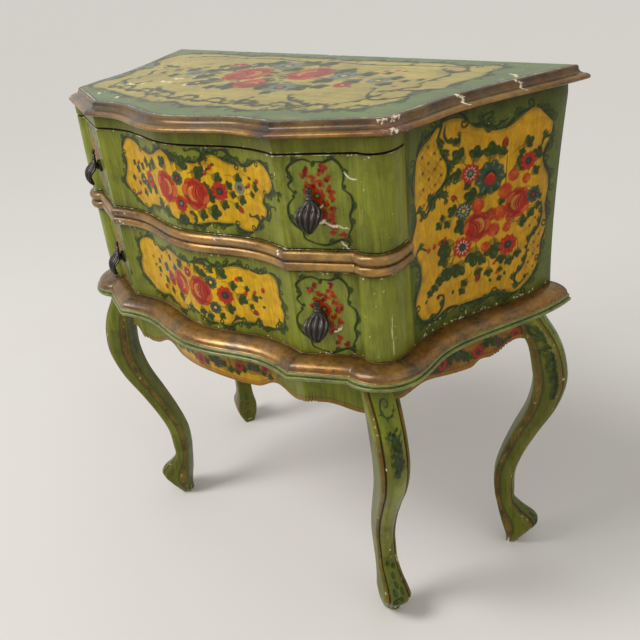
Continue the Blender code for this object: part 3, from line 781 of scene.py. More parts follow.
    def rocaille(self, outline: Sequence, size: float, width: float) -> None:
        """Scrolls end to end round a cartouche, over a thin dark edge.

        Args:
            outline: The cartouche's outline, clockwise.
            size: The length of a scroll.
            width: Its line's full width.
        """
        line = curved(outline, closed=True)
        line = np.vstack([line, line[0]])
        self.stroke(line[::3], width * 3.0, Pigment.MOSS, (1, 1), steps=1, strength=0.20, sharp=0.8)
        self.stroke(line[::3], width * 0.55, Pigment.INK, (1, 0.6, 1, 0.5, 1, 0.7, 1), steps=2)
        far = arc_length(line)
        count = round(far[-1] / size)
        for i in range(count):
            stretch = (i + np.linspace(0.04, 0.84, 7)) * far[-1] / count
            points = np.stack([np.interp(stretch, far, line[:, k]) for k in (0, 1)], -1)
            run = np.gradient(points, axis=0)
            out = np.stack([-run[:, 1], run[:, 0]], -1) / np.hypot(*run.T)[:, None]
            lift = size * (0.03 + 0.09 * np.sin(np.linspace(0, np.pi, 7)) * self.rng.uniform(0.5, 1.1))
            hand = 1 if i % 3 else -1
            if i % 4 == 3:
                lift, hand = -lift, -hand
            self.scroll(points + out * lift[:, None], width, (0, hand * size * 0.24), 1 + (i % 3 == 0))

    def lattice(self, low: tuple[float, float], high: tuple[float, float], step: float) -> None:
        """Fine crossed lines with a small cross in each field.

        Args:
            low: The lower left corner.
            high: The upper right corner.
            step: The width of a field.
        """
        span = high[1] - low[1]
        for i in range(int((high[0] - low[0] + span) / step) + 1):
            for lean in (1, -1):
                x = low[0] - (span if lean > 0 else 0) + i * step
                line = self.clipped((x, low[1]), (x + lean * span, high[1]), low[0], high[0])
                if line:
                    self.stroke(line, 0.7, Pigment.FOREST, (1, 1), steps=2, strength=0.6)
        for i in range(int((high[0] - low[0]) / step) + 1):
            for j in range(int(span / step * 2) + 1):
                at = (low[0] + (i + 0.5 * (j % 2)) * step + step / 2, low[1] + j * step / 2)
                if low[0] < at[0] < high[0]:
                    for turn in (45, -45):
                        self.dab(at, (6.0, 1.6), turn, Pigment.SLATE)

    @staticmethod
    def clipped(
        start: tuple[float, float], stop: tuple[float, float], left: float, right: float
    ) -> list[tuple[float, ...]] | None:
        """The part of a slanting line between two uprights.

        Args:
            start: The line's start.
            stop: Its end.
            left: The left upright.
            right: The right upright.

        Returns:
            Its two ends, or None where nothing is left.
        """
        first, last = sorted((x - start[0]) / (stop[0] - start[0]) for x in (left, right))
        first, last = max(first, 0), min(last, 1)
        if first >= last:
            return None
        return [tuple(blend(a, b, share) for a, b in zip(start, stop)) for share in (first, last)]

    def chips(self, low: tuple[float, float], high: tuple[float, float], count: int, size: float) -> None:
        """Small losses down to the white ground, strewn over a box.

        Args:
            low: The box's lower left corner.
            high: Its upper right corner.
            count: How many chips.
            size: How long one is.
        """
        for _ in range(count):
            place = self.somewhere(low, high)
            length, turn = size * self.rng.uniform(0.5, 1.6), self.rng.uniform(0, 180)
            self.crack([place, self.around(place, length, turn)], size * self.rng.uniform(0.25, 0.6))

    def crack(self, path: Sequence, width: float) -> None:
        """A jagged line of bare white ground."""
        points = [tuple(p) for p in curved(path, 4) + self.rng.normal(0, width * 0.35, (4 * len(path) - 3, 2))]
        self.stroke(points, width, Pigment.GESSO, (0.3, 1, 0.5, 1, 0.3), bare=1.0, steps=2)

    def age(self, streak: tuple[float, float], strength: float) -> None:
        """Uneven strength of the old paint, in blotches, long soft streaks and dark specks.

        Args:
            streak: The width and height of a streak.
            strength: How uneven it is.
        """
        x, y = np.meshgrid(self.xs + self.SHIFT, self.ys + self.SHIFT)
        tone = mottle(x, y, 38, 3) * 0.5 + mottle(x / streak[0], y / streak[1], 1.0, 4) * 0.5
        specks = np.clip((mottle(x, y, 1.7, 9) - 0.90) * 12, 0, 1) * np.clip(mottle(x, y, 23, 10) * 2 - 0.6, 0, 1)
        tone = (1 + strength * (tone - 0.5)) * (1 - 0.45 * specks)
        self.colour *= tone[..., None] * (1 - self.bare[..., None]) + self.bare[..., None]

    def soil_and_shade(self, bands: Sequence[tuple[float, float, float]]) -> None:
        """Darkening in patchy bands along mouldings and joints, part dirt and part painted shade.

        Args:
            bands: The height, softness and strength of each band.
        """
        patchy = 0.7 + 0.6 * mottle(self.xs + self.SHIFT, 7.0, 11, 5)
        for at, soft, strength in bands:
            dirt = strength * np.exp(-np.abs(self.ys - at) / soft)[:, None]
            dirt = dirt * patchy
            self.colour *= 1 - np.clip(dirt, 0, 0.9)[..., None] * (1 - self.bare[..., None])

    def sample(self, x: np.ndarray, y: np.ndarray | float) -> np.ndarray:
        """The colour at each place, with what is still painted as a fourth value.

        Args:
            x: Places across, in millimetres.
            y: Places up, in millimetres, or one height for all.

        Returns:
            Rows of red, green, blue and cover.
        """
        u = np.clip((x - self.low[0]) * self.FINENESS, 0, len(self.xs) - 1.001)
        v = np.clip((y - self.low[1]) * self.FINENESS, 0, len(self.ys) - 1.001)
        u, v = np.broadcast_arrays(u, v)
        i, j = u.astype(int), v.astype(int)
        u, v = (u - i)[..., None], (v - j)[..., None]
        layers = np.dstack([self.colour, 1 - self.bare])
        low = layers[j, i] * (1 - u) + layers[j, i + 1] * u
        high = layers[j + 1, i] * (1 - u) + layers[j + 1, i + 1] * u
        return low * (1 - v) + high * v


class FrontPainting:
    """The decoration of the whole front, from the aprons' edge to the top, unrolled to right and left."""

    UPPER = (
        (-118, 752), (-104, 749), (-92, 744), (-76, 739), (-58, 738), (-42, 741), (-30, 747), (-16, 752),
        (-2, 751), (9, 746), (20, 741), (34, 737), (48, 737), (58, 742), (68, 748), (80, 750), (90, 745),
        (104, 739), (124, 738), (136, 743), (150, 747), (164, 746), (174, 740), (181, 731), (184, 720),
        (178, 711), (168, 704), (160, 698), (157, 690), (163, 683), (160, 674), (152, 665), (143, 655),
        (134, 648), (120, 645), (108, 647), (98, 653), (84, 653), (62, 653), (44, 650), (28, 647),
        (12, 646), (-4, 648), (-18, 653), (-34, 659), (-50, 660), (-68, 658), (-86, 655), (-98, 648),
        (-114, 645), (-130, 650), (-140, 659), (-149, 671), (-154, 682), (-149, 694), (-143, 706),
        (-141, 718), (-146, 730), (-138, 742), (-130, 750),
    )  # fmt: skip
    LOWER = (
        (0, 584), (14, 585), (30, 585), (46, 583), (60, 584), (74, 588), (90, 588), (102, 586), (118, 588),
        (134, 588), (150, 586), (158, 580), (161, 568), (161, 556), (166, 545), (166, 531), (162, 518),
        (156, 508), (146, 501), (134, 496), (121, 494), (111, 498), (102, 501), (88, 501), (76, 499),
        (64, 495), (50, 491), (34, 492), (18, 495), (0, 499), (-16, 500), (-32, 497), (-48, 493),
        (-64, 492), (-78, 496), (-90, 501), (-104, 500), (-118, 496), (-136, 498), (-152, 506),
        (-160, 517), (-165, 530), (-163, 545), (-158, 557), (-159, 570), (-155, 582), (-142, 590),
        (-123, 591), (-108, 586), (-92, 584), (-78, 587), (-62, 590), (-46, 588), (-30, 584), (-14, 583),
    )  # fmt: skip

    def __init__(self) -> None:
        """Paints from the ground up to the chips."""
        self.canvas = Canvas((-390, 385), (390, 790), Pigment.OLIVE)
        self.grounds()
        self.upper_drawer()
        self.lower_drawer()
        self.wings()
        self.apron()
        self.canvas.age((9.0, 160.0), 0.40)
        # Dirt and painted shade along the mouldings; the strong band at the top is a painted shadow under the top's
        # moulding.
        self.canvas.soil_and_shade(((482, 6, 0.35), (604, 6, 0.40), (636, 6, 0.40), (762, 8, 0.35), (790, 18, 0.70)))
        self.losses()

    def grounds(self) -> None:
        """Paler wings and columns on the olive ground, a painted highlight and painted shade down the wings' folds, and
        the yellow cartouches with their borders.
        """
        canvas = self.canvas
        soft = {"taper": (1, 1), "sharp": 0.3}
        for hand in (-1, 1):
            for low, high in ((484, 602), (639, 757)):
                canvas.panel((hand * 294, low), (hand * 334, high), Pigment.MEADOW, 0.35)
                canvas.panel((hand * 210, low + 10), (hand * 282, high - 8), Pigment.MEADOW, 0.55)
                # A painted highlight: a soft pale band down each wing just past the notch.
                canvas.stroke([(hand * 201, low), (hand * 201, high)], 9, Pigment.MEADOW, strength=0.4, **soft)
        for _ in range(110):
            place = canvas.somewhere((-345, 484), (345, 765))
            shade = canvas.pick(Pigment.UMBER, Pigment.MEADOW, Pigment.SAGE, Pigment.MOSS)
            size = (canvas.rng.uniform(40, 120), canvas.rng.uniform(10, 26))
            canvas.dab(place, size, 90 + canvas.rng.uniform(-6, 6), shade, 0.2, canvas.rng.uniform(0.08, 0.22))
        # Painted shade: soft umber lines down each wing, beside the pale band and in the crease by the column.
        for x in (-206, -287, 206, 287):
            canvas.stroke([(x, 486), (x, 760)], 5, Pigment.UMBER, strength=0.22, **soft)
        for outline in (self.UPPER, self.LOWER):
            canvas.fill(outline, Pigment.YELLOW)
            inner = np.array(outline) * (0.93, 1)
            middle = inner[:, 1].mean()
            inner[:, 1] = middle + (inner[:, 1] - middle) * 0.80
            for x, y in inner[::2]:
                canvas.dab((x, y), (22, 8), canvas.rng.uniform(-35, 35), Pigment.AMBER, 0.3, 0.30)
            canvas.rocaille(outline, 37, 2.7)

    def upper_drawer(self) -> None:
        """The upper cartouche's bouquet."""
        canvas = self.canvas
        leaves = (
            (20, 733, 15), (5, 738, 9), (46, 722, 12), (78, 718, 10), (62, 691, 12), (57, 704, 8), (64, 669, 13),
            (96, 707, 8), (101, 696, 7), (113, 719, 9), (115, 690, 9), (84, 681, 9), (44, 664, 10), (8, 657, 12),
            (105, 681, 6), (136, 699, 6), (144, 710, 7), (134, 722, 5), (-18, 730, 12), (-48, 724, 11),
            (-62, 716, 9), (-74, 722, 10), (-58, 684, 10), (-44, 668, 11), (-82, 684, 12), (-92, 712, 8),
            (-108, 706, 8), (-100, 672, 8), (-128, 690, 6), (-118, 714, 6), (-28, 662, 10), (74, 736, 5),
            (56, 728, 6),
        )  # fmt: skip
        berries = (
            (62, 724, 8), (71, 732, 8), (133, 711, 7), (150, 719, 8), (-120, 668, 7), (-129, 665, 6), (-104, 718, 8),
        )  # fmt: skip
        canvas.spray(leaves, (0, 698))
        canvas.daisy((10, 713), 21, Pigment.TEAL, Pigment.RED)
        canvas.daisy((8, 676), 25, Pigment.RED, Pigment.MIST)
        canvas.rose((-20, 697), 50, 10)
        canvas.rose((39, 693), 49, 185)
        canvas.daisy((81, 699), 27)
        canvas.daisy((116, 706), 18, Pigment.MIST, Pigment.RED)
        canvas.daisy((-72, 698), 26, Pigment.RED, Pigment.MIST)
        canvas.daisy((-100, 692), 19, Pigment.TEAL, Pigment.YELLOW)
        for x, y, size in berries:
            canvas.berry((x, y), size)
            canvas.leaf((x - 5, y - 3), 6, 210)
        canvas.bud((113, 674), 11, -50)
        canvas.bud((-116, 684), 9, 160)
        for path, curls in (
            (((36, 753), (50, 757), (62, 752), (64, 744), (56, 739)), (-5, 5)),
            (((82, 754), (96, 757), (108, 750), (120, 743), (132, 735)), (-6, -6)),
            (((176, 706), (183, 712), (192, 710), (195, 703)), (0, -5)),
            (((152, 672), (162, 668), (170, 676), (172, 688), (182, 690)), (5, -5)),
            (((128, 667), (138, 668), (146, 660), (142, 650)), (-5, 0)),
            (((24, 646), (32, 652), (33, 661), (26, 666)), (0, 5)),
        ):
            canvas.scroll(path, 2.1, curls, 2)

    def lower_drawer(self) -> None:
        """The lower cartouche's bouquet."""
        canvas = self.canvas
        leaves = (
            (55, 572, 12), (20, 567, 10), (36, 577, 8), (72, 558, 9), (84, 539, 12), (60, 519, 11), (88, 568, 6),
            (96, 555, 6), (108, 541, 8), (118, 545, 5), (22, 503, 9), (44, 506, 8), (10, 574, 9), (8, 508, 9),
            (100, 528, 6), (122, 530, 5), (-30, 572, 11), (-48, 560, 10), (-20, 508, 9), (-42, 518, 11),
            (-84, 552, 10), (-92, 530, 9), (-76, 516, 8), (-108, 556, 6), (-112, 540, 7), (-122, 548, 5), (-64, 574, 7),
        )  # fmt: skip
        berries = (
            (82, 568, 8), (94, 547, 8), (111, 551, 7), (127, 557, 9), (-100, 566, 7), (-118, 530, 7), (-128, 560, 6),
        )  # fmt: skip
        canvas.spray(leaves, (0, 540))
        canvas.daisy((35, 558), 22, Pigment.TEAL, Pigment.YELLOW)
        canvas.daisy((35, 517), 21, Pigment.TEAL, Pigment.CREAM)
        canvas.rose((-38, 542), 44, 8)
        canvas.rose((10, 540), 50, 182)
        canvas.daisy((57, 540), 29)
        canvas.daisy((-72, 538), 25, Pigment.RED, Pigment.MIST)
        canvas.daisy((-12, 566), 17, Pigment.RED, Pigment.CREAM)
        canvas.arrange(canvas.berry, berries)
        canvas.bud((108, 518), 11, -20)
        canvas.bud((-104, 514), 11, 200)
        for path, curls in (
            (((8, 588), (26, 594), (44, 588), (58, 586), (72, 593)), (6, 6)),
            (((140, 500), (152, 504), (156, 514), (148, 512)), (0, 4)),
            (((100, 498), (108, 505), (114, 500), (108, 495)), (0, 0)),
            (((160, 556), (166, 548), (162, 540), (168, 534)), (0, -4)),
            (((60, 494), (70, 503), (80, 504), (80, 498)), (0, 4)),
        ):
            canvas.scroll(path, 2.1, curls, 2)

    def wings(self) -> None:
        """Scrolled frames and red sprays on the wings, behind the pulls."""
        canvas = self.canvas
        frame_lines = (
            (((216, 712), (210, 722), (216, 730), (211, 742), (220, 751), (234, 755), (246, 750)), (5, -5)),
            (((248, 752), (260, 751), (272, 755), (282, 745), (284, 732), (281, 722)), (4, 5)),
            (((282, 716), (291, 708), (292, 694), (287, 682), (288, 668), (282, 656)), (-5, 4)),
            (((216, 706), (207, 696), (206, 682), (212, 670), (222, 661), (224, 651), (236, 645)), (4, 0)),
            (((236, 645), (250, 642), (262, 646), (274, 650), (283, 645), (279, 639)), (0, 5)),
        )
        red_touches = (
            (231, 736), (243, 731), (252, 725), (262, 730), (256, 738), (264, 718), (236, 722), (244, 720),
            (232, 714), (265, 705), (258, 698), (266, 690), (262, 680), (254, 674), (264, 668), (247, 694),
            (240, 690), (268, 712), (262, 661), (274, 656), (238, 742), (259, 744),
        )  # fmt: skip
        for hand in (-1, 1):
            for drop, shift in ((0, 0), (-158, -10)):
                for path, curls in frame_lines:
                    points = [(hand * (x + shift), y + drop) for x, y in path]
                    canvas.scroll(points, 2.3, (hand * curls[0], hand * curls[1]), 2)
                for x, y in red_touches:
                    place = (hand * (x + shift + canvas.rng.uniform(-1, 1)), y + drop + canvas.rng.uniform(-1, 1))
                    for _ in range(6):
                        at = canvas.around(place, canvas.rng.uniform(1, 4.5), canvas.rng.uniform(0, 360))
                        shade = Pigment.RUST if canvas.rng.random() < 0.7 else Pigment.CRIMSON
                        canvas.dab(at, (6.0, 4.2), canvas.rng.uniform(0, 180), shade, 0.3, 0.9)
                for x, y, size in ((247, 708, 21), (250, 684, 18)):
                    canvas.daisy((hand * (x + shift), y + drop), size, Pigment.RUST, Pigment.OLIVE)

    def apron(self) -> None:
        """The apron's yellow middle and its small flowers."""
        canvas = self.canvas
        ground = (
            (-134, 470), (-130, 446), (-116, 424), (-98, 404), (-60, 390), (0, 382), (60, 386), (98, 390),
            (120, 402), (130, 420), (142, 440), (148, 470),
        )  # fmt: skip
        canvas.fill(ground, Pigment.OCHRE)
        for x in range(-120, 130, 22):
            place, turn = (x, 430 + canvas.rng.uniform(-8, 8)), canvas.rng.uniform(0, 180)
            canvas.dab(place, (44, 26), turn, Pigment.UMBER, 0, 0.48)
        canvas.spray([(x, 421 + 7 * math.sin(x / 11), 8 + x % 4) for x in range(-112, 128, 12)], (-10, 410))
        canvas.arrange(canvas.daisy, ((-98, 427, 14), (-18, 418, 23), (62, 424, 15), (110, 428, 12)))
        for x, y, size in ((-60, 421, 18), (22, 422, 17), (88, 425, 12)):
            canvas.daisy((x, y), size, Pigment.TEAL, Pigment.RED)

    def losses(self) -> None:
        """Cracks and chips down to the white ground, where this front has them."""
        for path, width in (
            (((240, 697), (246, 693), (253, 695)), 2.2),
            (((245, 672), (253, 674), (262, 668), (272, 668)), 2.6),
            (((270, 667), (284, 665)), 1.2),
            (((285, 738), (292, 730), (300, 728)), 1.5),
            (((338, 548), (336, 520), (337, 505), (336, 488)), 0.6),
            (((246, 516), (254, 519), (258, 524)), 2.6),
            (((272, 648), (278, 640), (282, 636)), 1.6),
        ):
            self.canvas.crack(path, width)
        for low, high, count, size in (
            ((-340, 600), (340, 606), 30, 1.8),
            ((-340, 480), (340, 484), 26, 2.2),
            ((290, 484), (345, 600), 7, 1.0),
            ((-345, 484), (-290, 600), 7, 1.0),
            ((300, 640), (350, 760), 6, 0.9),
            ((-340, 757), (340, 761), 16, 1.5),
            ((-340, 635), (340, 639), 16, 1.6),
            ((-180, 500), (180, 740), 14, 0.7),
        ):
            self.canvas.chips(low, high, count, size)


class SidePainting:
    """The decoration of one side, from its front corner back."""

    OUTLINE = (
        (452, 765), (468, 769), (486, 767), (498, 758), (508, 750), (522, 747), (534, 741), (550, 740), (562, 743),
        (576, 751), (590, 758), (606, 760), (618, 754), (626, 744), (632, 730), (630, 712), (622, 700), (618, 684),
        (624, 668), (632, 654), (634, 634), (630, 612), (634, 592), (636, 566), (630, 540), (620, 522), (606, 506),
        (590, 495), (574, 492), (560, 497), (545, 500), (520, 501), (492, 502), (470, 500), (448, 494), (428, 496),
        (408, 506), (397, 522), (393, 536), (399, 548), (408, 560), (411, 576), (408, 592), (398, 604), (391, 620),
        (393, 640), (399, 656), (402, 674), (404, 694), (407, 714), (411, 732), (422, 744), (436, 752),
    )  # fmt: skip

    def __init__(self) -> None:
        """Paints from the ground up to the chips."""
        # The ground is a darker olive than the front's, partly as painted shade for a side turned from the light.
        self.canvas = Canvas((330, 385), (670, 790), Pigment.FERN)
        canvas = self.canvas
        # Painted shade: the front margin by the corner column, where the hollow side turns away from the light, is
        # darkened with moss.
        canvas.panel((340, 476), (392, 790), Pigment.MOSS, 0.6)
        canvas.fill(self.OUTLINE, Pigment.OCHRE)
        for x, y in self.OUTLINE[::2]:
            place = (x + (515 - x) * 0.12, y + (630 - y) * 0.12)
            canvas.dab(place, (26, 9), canvas.rng.uniform(0, 180), Pigment.AMBER, 0.2, 0.3)
        canvas.lattice((412, 668), (458, 742), 21)
        canvas.lattice((592, 512), (628, 600), 19)
        canvas.rocaille(self.OUTLINE, 52, 3.5)
        # Painted shade: walnut patches darken the front margin further.
        for place, size in (((350, 745), (150, 46)), ((374, 700), (110, 36)), ((356, 560), (150, 26))):
            canvas.dab(place, size, 90, Pigment.WALNUT, 0, 0.40)
        self.bouquet()
        self.scrolls()
        self.apron()
        canvas.age((12.0, 150.0), 0.34)
        # Dirt and painted shade above the base moulding, and a painted shadow under the top's moulding.
        canvas.soil_and_shade(((480, 7, 0.35), (790, 24, 0.80)))
        canvas.chips((400, 484), (640, 496), 8, 1.4)
        canvas.chips((345, 490), (380, 770), 14, 1.4)
        canvas.chips((400, 480), (655, 483), 26, 2.4)

    def bouquet(self) -> None:
        """The great bouquet: two roses, a dark blue flower, daisies, buds and leaves."""
        canvas = self.canvas
        leaves = (
            (484, 715, 14), (508, 712, 13), (532, 710, 15), (548, 706, 10), (482, 690, 12), (497, 672, 8),
            (505, 655, 15), (474, 643, 11), (488, 620, 14), (462, 597, 17), (458, 580, 13), (464, 562, 15),
            (482, 560, 15), (448, 555, 11), (438, 546, 9), (428, 541, 8), (420, 532, 5), (506, 572, 17),
            (520, 562, 10), (538, 575, 18), (552, 556, 11), (565, 548, 10), (580, 555, 9), (584, 600, 11),
            (600, 610, 10), (612, 616, 8), (578, 684, 15), (606, 690, 12), (604, 668, 9), (588, 712, 11),
            (580, 700, 7), (450, 632, 8), (464, 630, 8), (456, 640, 6), (490, 535, 8), (486, 524, 8),
            (512, 546, 9), (530, 540, 9), (550, 538, 6), (532, 526, 5), (548, 524, 6), (480, 735, 8),
            (534, 660, 12), (520, 655, 10), (548, 640, 8), (606, 640, 9), (616, 628, 6), (608, 576, 6),
            (470, 528, 5), (558, 530, 5),
        )  # fmt: skip
        small_roses = (
            (512, 642, 20), (556, 652, 22), (534, 624, 18), (548, 622, 22), (525, 578, 15), (538, 600, 20),
            (566, 612, 16), (568, 672, 17), (590, 662, 14), (560, 598, 14),
        )  # fmt: skip
        berries = (
            (458, 609, 7), (448, 606, 7), (439, 604, 8), (428, 602, 7), (540, 549, 7), (544, 533, 6), (528, 740, 4),
        )  # fmt: skip
        buds = ((473, 663, 11, 130), (553, 722, 13, 80), (511, 533, 12, 250), (618, 720, 9, 60))
        canvas.stroke([(558, 640), (556, 670), (556, 700), (553, 722)], 1.6, Pigment.FOREST)
        canvas.spray(leaves, (528, 640))
        canvas.daisy((531, 678), 46, Pigment.TEAL, Pigment.RED)
        canvas.dab((531, 675), (17, 16), 0, Pigment.RED)
        canvas.stroke([(526, 679), (532, 683), (537, 678)], 1.8, Pigment.CORAL)
        for x, y, size in small_roses:
            canvas.rose((x, y), size * 1.1, canvas.rng.uniform(0, 360), Pigment.AMBER)
            canvas.dab((x, y), (size * 0.9, size * 0.8), 40, Pigment.CORAL, 0, 0.35)
        canvas.rose((511, 612), 46, 20)
        canvas.rose((578, 630), 46, 165)
        canvas.daisy((500, 690), 27, Pigment.RED, Pigment.MIST, True)
        canvas.daisy((487, 588), 30, Pigment.RED, Pigment.TEAL, True)
        canvas.daisy((563, 571), 30)
        canvas.daisy((592, 686), 26)
        canvas.daisy((489, 640), 25, Pigment.TEAL, Pigment.YELLOW, True)
        canvas.daisy((605, 634), 24, Pigment.TEAL, Pigment.RUST)
        canvas.arrange(canvas.berry, berries)
        canvas.arrange(canvas.bud, buds)

    def scrolls(self) -> None:
        """Leafy scrolls inside the cartouche."""
        upper = ((456, 762), (450, 745), (456, 728), (465, 712), (464, 694), (452, 680), (438, 668), (427, 652))
        for path, width, curls, lobes in (
            (upper, 3.0, (6, -9), 6),
            (((426, 660), (438, 672), (452, 672), (462, 664)), 2.6, (0, -7), 3),
            (((462, 762), (460, 750), (466, 740), (478, 738), (484, 744)), 2.0, (0, 6), 1),
            (((402, 662), (414, 662), (418, 652)), 2.2, (0, -6), 2),
            (((400, 604), (410, 612), (424, 604)), 2.2, (8, 0), 1),
            (((398, 520), (408, 506), (424, 500), (440, 503), (450, 512), (452, 526), (444, 530)), 2.4, (0, 6), 2),
            (((596, 508), (584, 502), (576, 510), (578, 520), (588, 526), (596, 540), (598, 556)), 2.4, (6, 5), 4),
            (((598, 556), (604, 570), (618, 582), (624, 600), (622, 616)), 2.2, (0, 6), 4),
            (((612, 700), (618, 712), (630, 712), (636, 704)), 2.2, (-6, -6), 2),
            (((556, 752), (536, 745), (520, 750), (518, 762), (530, 766)), 2.2, (0, -6), 2),
            (((516, 492), (530, 499), (548, 498), (560, 493)), 2.2, (-7, 0), 4),
        ):
            self.canvas.scroll(path, width * 1.2, curls, lobes)

    def apron(self) -> None:
        """The side apron's ochre ground and small flowers."""
        canvas = self.canvas
        for pigment, strength in ((Pigment.AMBER, 1.0), (Pigment.UMBER, 0.36)):
            canvas.fill([(372, 470), (380, 380), (520, 380), (640, 384), (630, 470), (500, 474)], pigment, strength)
        canvas.spray([(x, 424 + 7 * math.sin(x / 9), 9 + x % 3) for x in range(400, 616, 11)], (500, 424))
        canvas.arrange(canvas.daisy, ((438, 424, 18), (506, 418, 21), (574, 425, 18)))
        for x, y in ((471, 422), (541, 423)):
            canvas.daisy((x, y), 16, Pigment.TEAL, Pigment.RED)


class TopPainting:
    """The decoration of the top, seen from above with its back edge at 0 and its front below."""

    OUTLINE = (
        (-355, -48), (-330, -34), (-270, -28), (-200, -30), (-120, -26), (-40, -30), (40, -26), (120, -30),
        (200, -26), (270, -28), (308, -24), (322, -40), (314, -62), (320, -84), (312, -108), (304, -132),
        (308, -156), (290, -170), (280, -190), (286, -216), (272, -247), (254, -271), (224, -280), (196, -294),
        (160, -304), (120, -314), (84, -314), (60, -308), (34, -316), (0, -322), (-40, -316), (-76, -324),
        (-110, -314), (-150, -308), (-190, -300), (-226, -290), (-262, -292), (-302, -278), (-316, -250),
        (-306, -221), (-312, -192), (-326, -168), (-318, -146), (-332, -122), (-354, -106), (-360, -76),
    )  # fmt: skip

    def __init__(self) -> None:
        """Paints from the ground up to the chips."""
        self.canvas = Canvas((-440, -400), (440, 10), Pigment.SAGE)
        self.canvas.fill(self.OUTLINE, Pigment.STRAW)
        self.canvas.rocaille(self.OUTLINE, 54, 3.4)
        self.scrolls()
        self.bouquet()
        self.canvas.age((90.0, 14.0), 0.26)
        self.losses()

    def scrolls(self) -> None:
        """Leafy scrolls inside the cartouche, round its border and along its front."""
        canvas = self.canvas
        inner = np.array(self.OUTLINE) * 0.86 + (-2, -22)
        for i in range(0, len(inner) - 4, 3):
            path = inner[i : i + 4] + canvas.rng.uniform(-5, 5, (4, 2))
            canvas.scroll(path, 2.6, (7, -8) if i % 2 else (-7, 8), 2)
        right = ((214, -176), (224, -204), (244, -226), (266, -220), (284, -198), (296, -168), (262, -176), (232, -184))
        for path, curls in (
            (right, (9, 9)),
            (((112, -238), (132, -256), (158, -264), (182, -276)), (-9, 8)),
            (((66, -262), (58, -280), (74, -292), (92, -282)), (7, 7)),
            (((-214, -228), (-236, -244), (-262, -240), (-280, -222)), (9, -8)),
            (((-300, -120), (-280, -132), (-262, -128)), (8, -7)),
            (((-160, -252), (-140, -268), (-114, -272)), (-8, 8)),
            (((240, -60), (264, -72), (284, -66)), (-8, 8)),
        ):
            canvas.scroll(path, 3.2, curls, 4)
        for i, x in enumerate(range(-268, 250, 30)):
            hand, y = (1 if i % 2 else -1), -268 - 22 * math.cos(x / 150)
            path = [(x, y), (x + 9, y + 11 * hand), (x + 22, y + 9 * hand), (x + 32, y - 5 * hand)]
            canvas.scroll(path, 2.5, (8 * hand, -9 * hand), 3)

    def bouquet(self) -> None:
        """A long bouquet along the middle."""
        canvas = self.canvas
        leaves = (
            (-120, -120, 26), (-100, -92, 22), (-70, -78, 24), (-8, -70, 24), (28, -66, 20), (88, -98, 24),
            (96, -150, 22), (30, -196, 26), (88, -196, 22), (-28, -214, 24), (-92, -196, 24), (-132, -176, 22),
            (-150, -142, 22), (140, -108, 18), (146, -148, 18), (200, -118, 14), (206, -150, 14), (-200, -140, 16),
            (-206, -178, 14), (-232, -150, 10), (-250, -166, 8), (226, -132, 9), (244, -120, 8), (118, -182, 16),
            (-6, -110, 20), (-160, -108, 14), (170, -96, 10), (-60, -226, 14), (60, -232, 12), (0, -170, 18),
        )  # fmt: skip
        berries = (
            (160, -84, 10), (176, -78, 10), (190, -80, 9), (-228, -130, 11), (-246, -140, 9), (232, -160, 9),
            (-150, -226, 10),
        )  # fmt: skip
        for _ in range(90):
            place = (canvas.rng.normal(-10, 105), canvas.rng.normal(-148, 38))
            shade = canvas.pick(Pigment.FOREST, Pigment.TEAL, Pigment.FOREST, Pigment.RUST)
            canvas.dab(place, (canvas.rng.uniform(9, 20), 7), canvas.rng.uniform(-40, 60), shade, 0.3, 0.75)
        canvas.spray(leaves, (0, -145))
        canvas.daisy((-38, -84), 50, Pigment.MIST, Pigment.CREAM, shade=Pigment.TEAL)
        canvas.daisy((112, -122), 44, Pigment.MIST, Pigment.CREAM)
        canvas.daisy((62, -204), 48, Pigment.MIST, Pigment.CORAL)
        canvas.daisy((-112, -212), 34, Pigment.TEAL, Pigment.CREAM)
        canvas.daisy((-178, -158), 38, Pigment.MIST, Pigment.CORAL)
        canvas.daisy((186, -136), 34, Pigment.MIST, Pigment.CREAM)
        canvas.rose((-66, -146), 86, 30)
        canvas.rose((44, -122), 80, 160)
        canvas.rose((-8, -198), 56, 100)
        canvas.daisy((-138, -98), 32, Pigment.RED, Pigment.CREAM, shade=Pigment.RUST)
        canvas.daisy((150, -170), 28, Pigment.RED, Pigment.CREAM, shade=Pigment.RUST)
        canvas.arrange(canvas.berry, berries)

    def losses(self) -> None:
        """Worn and chipped places of the top."""
        canvas = self.canvas
        for path, width in (
            (((-186, -196), (-176, -200), (-168, -198)), 5.0),
            (((-194, -216), (-180, -220), (-164, -218)), 6.0),
            (((-246, -242), (-238, -250), (-228, -248)), 5.0),
            (((-220, -236), (-210, -246)), 4.0),
            (((-240, -306), (-230, -312)), 4.0),
            (((-180, -316), (-170, -320)), 3.5),
            (((-112, -94), (-104, -86)), 3.0),
            (((-130, -226), (-118, -232)), 4.0),
            (((350, -64), (362, -72), (366, -80)), 3.5),
        ):
            canvas.crack(path, width)
        canvas.chips((-380, -330), (380, -6), 60, 2.0)
        for _ in range(70):
            place = canvas.somewhere((-330, -300), (300, -30))
            canvas.dab(place, (3.2, 1.6), canvas.rng.uniform(0, 180), Pigment.MOSS, 0, 0.6)
        for _ in range(40):
            place = canvas.somewhere((-360, -340), (340, -20))
            canvas.dab(place, (70, 10), canvas.rng.uniform(-12, 12), Pigment.STRAW, 0, 0.16)


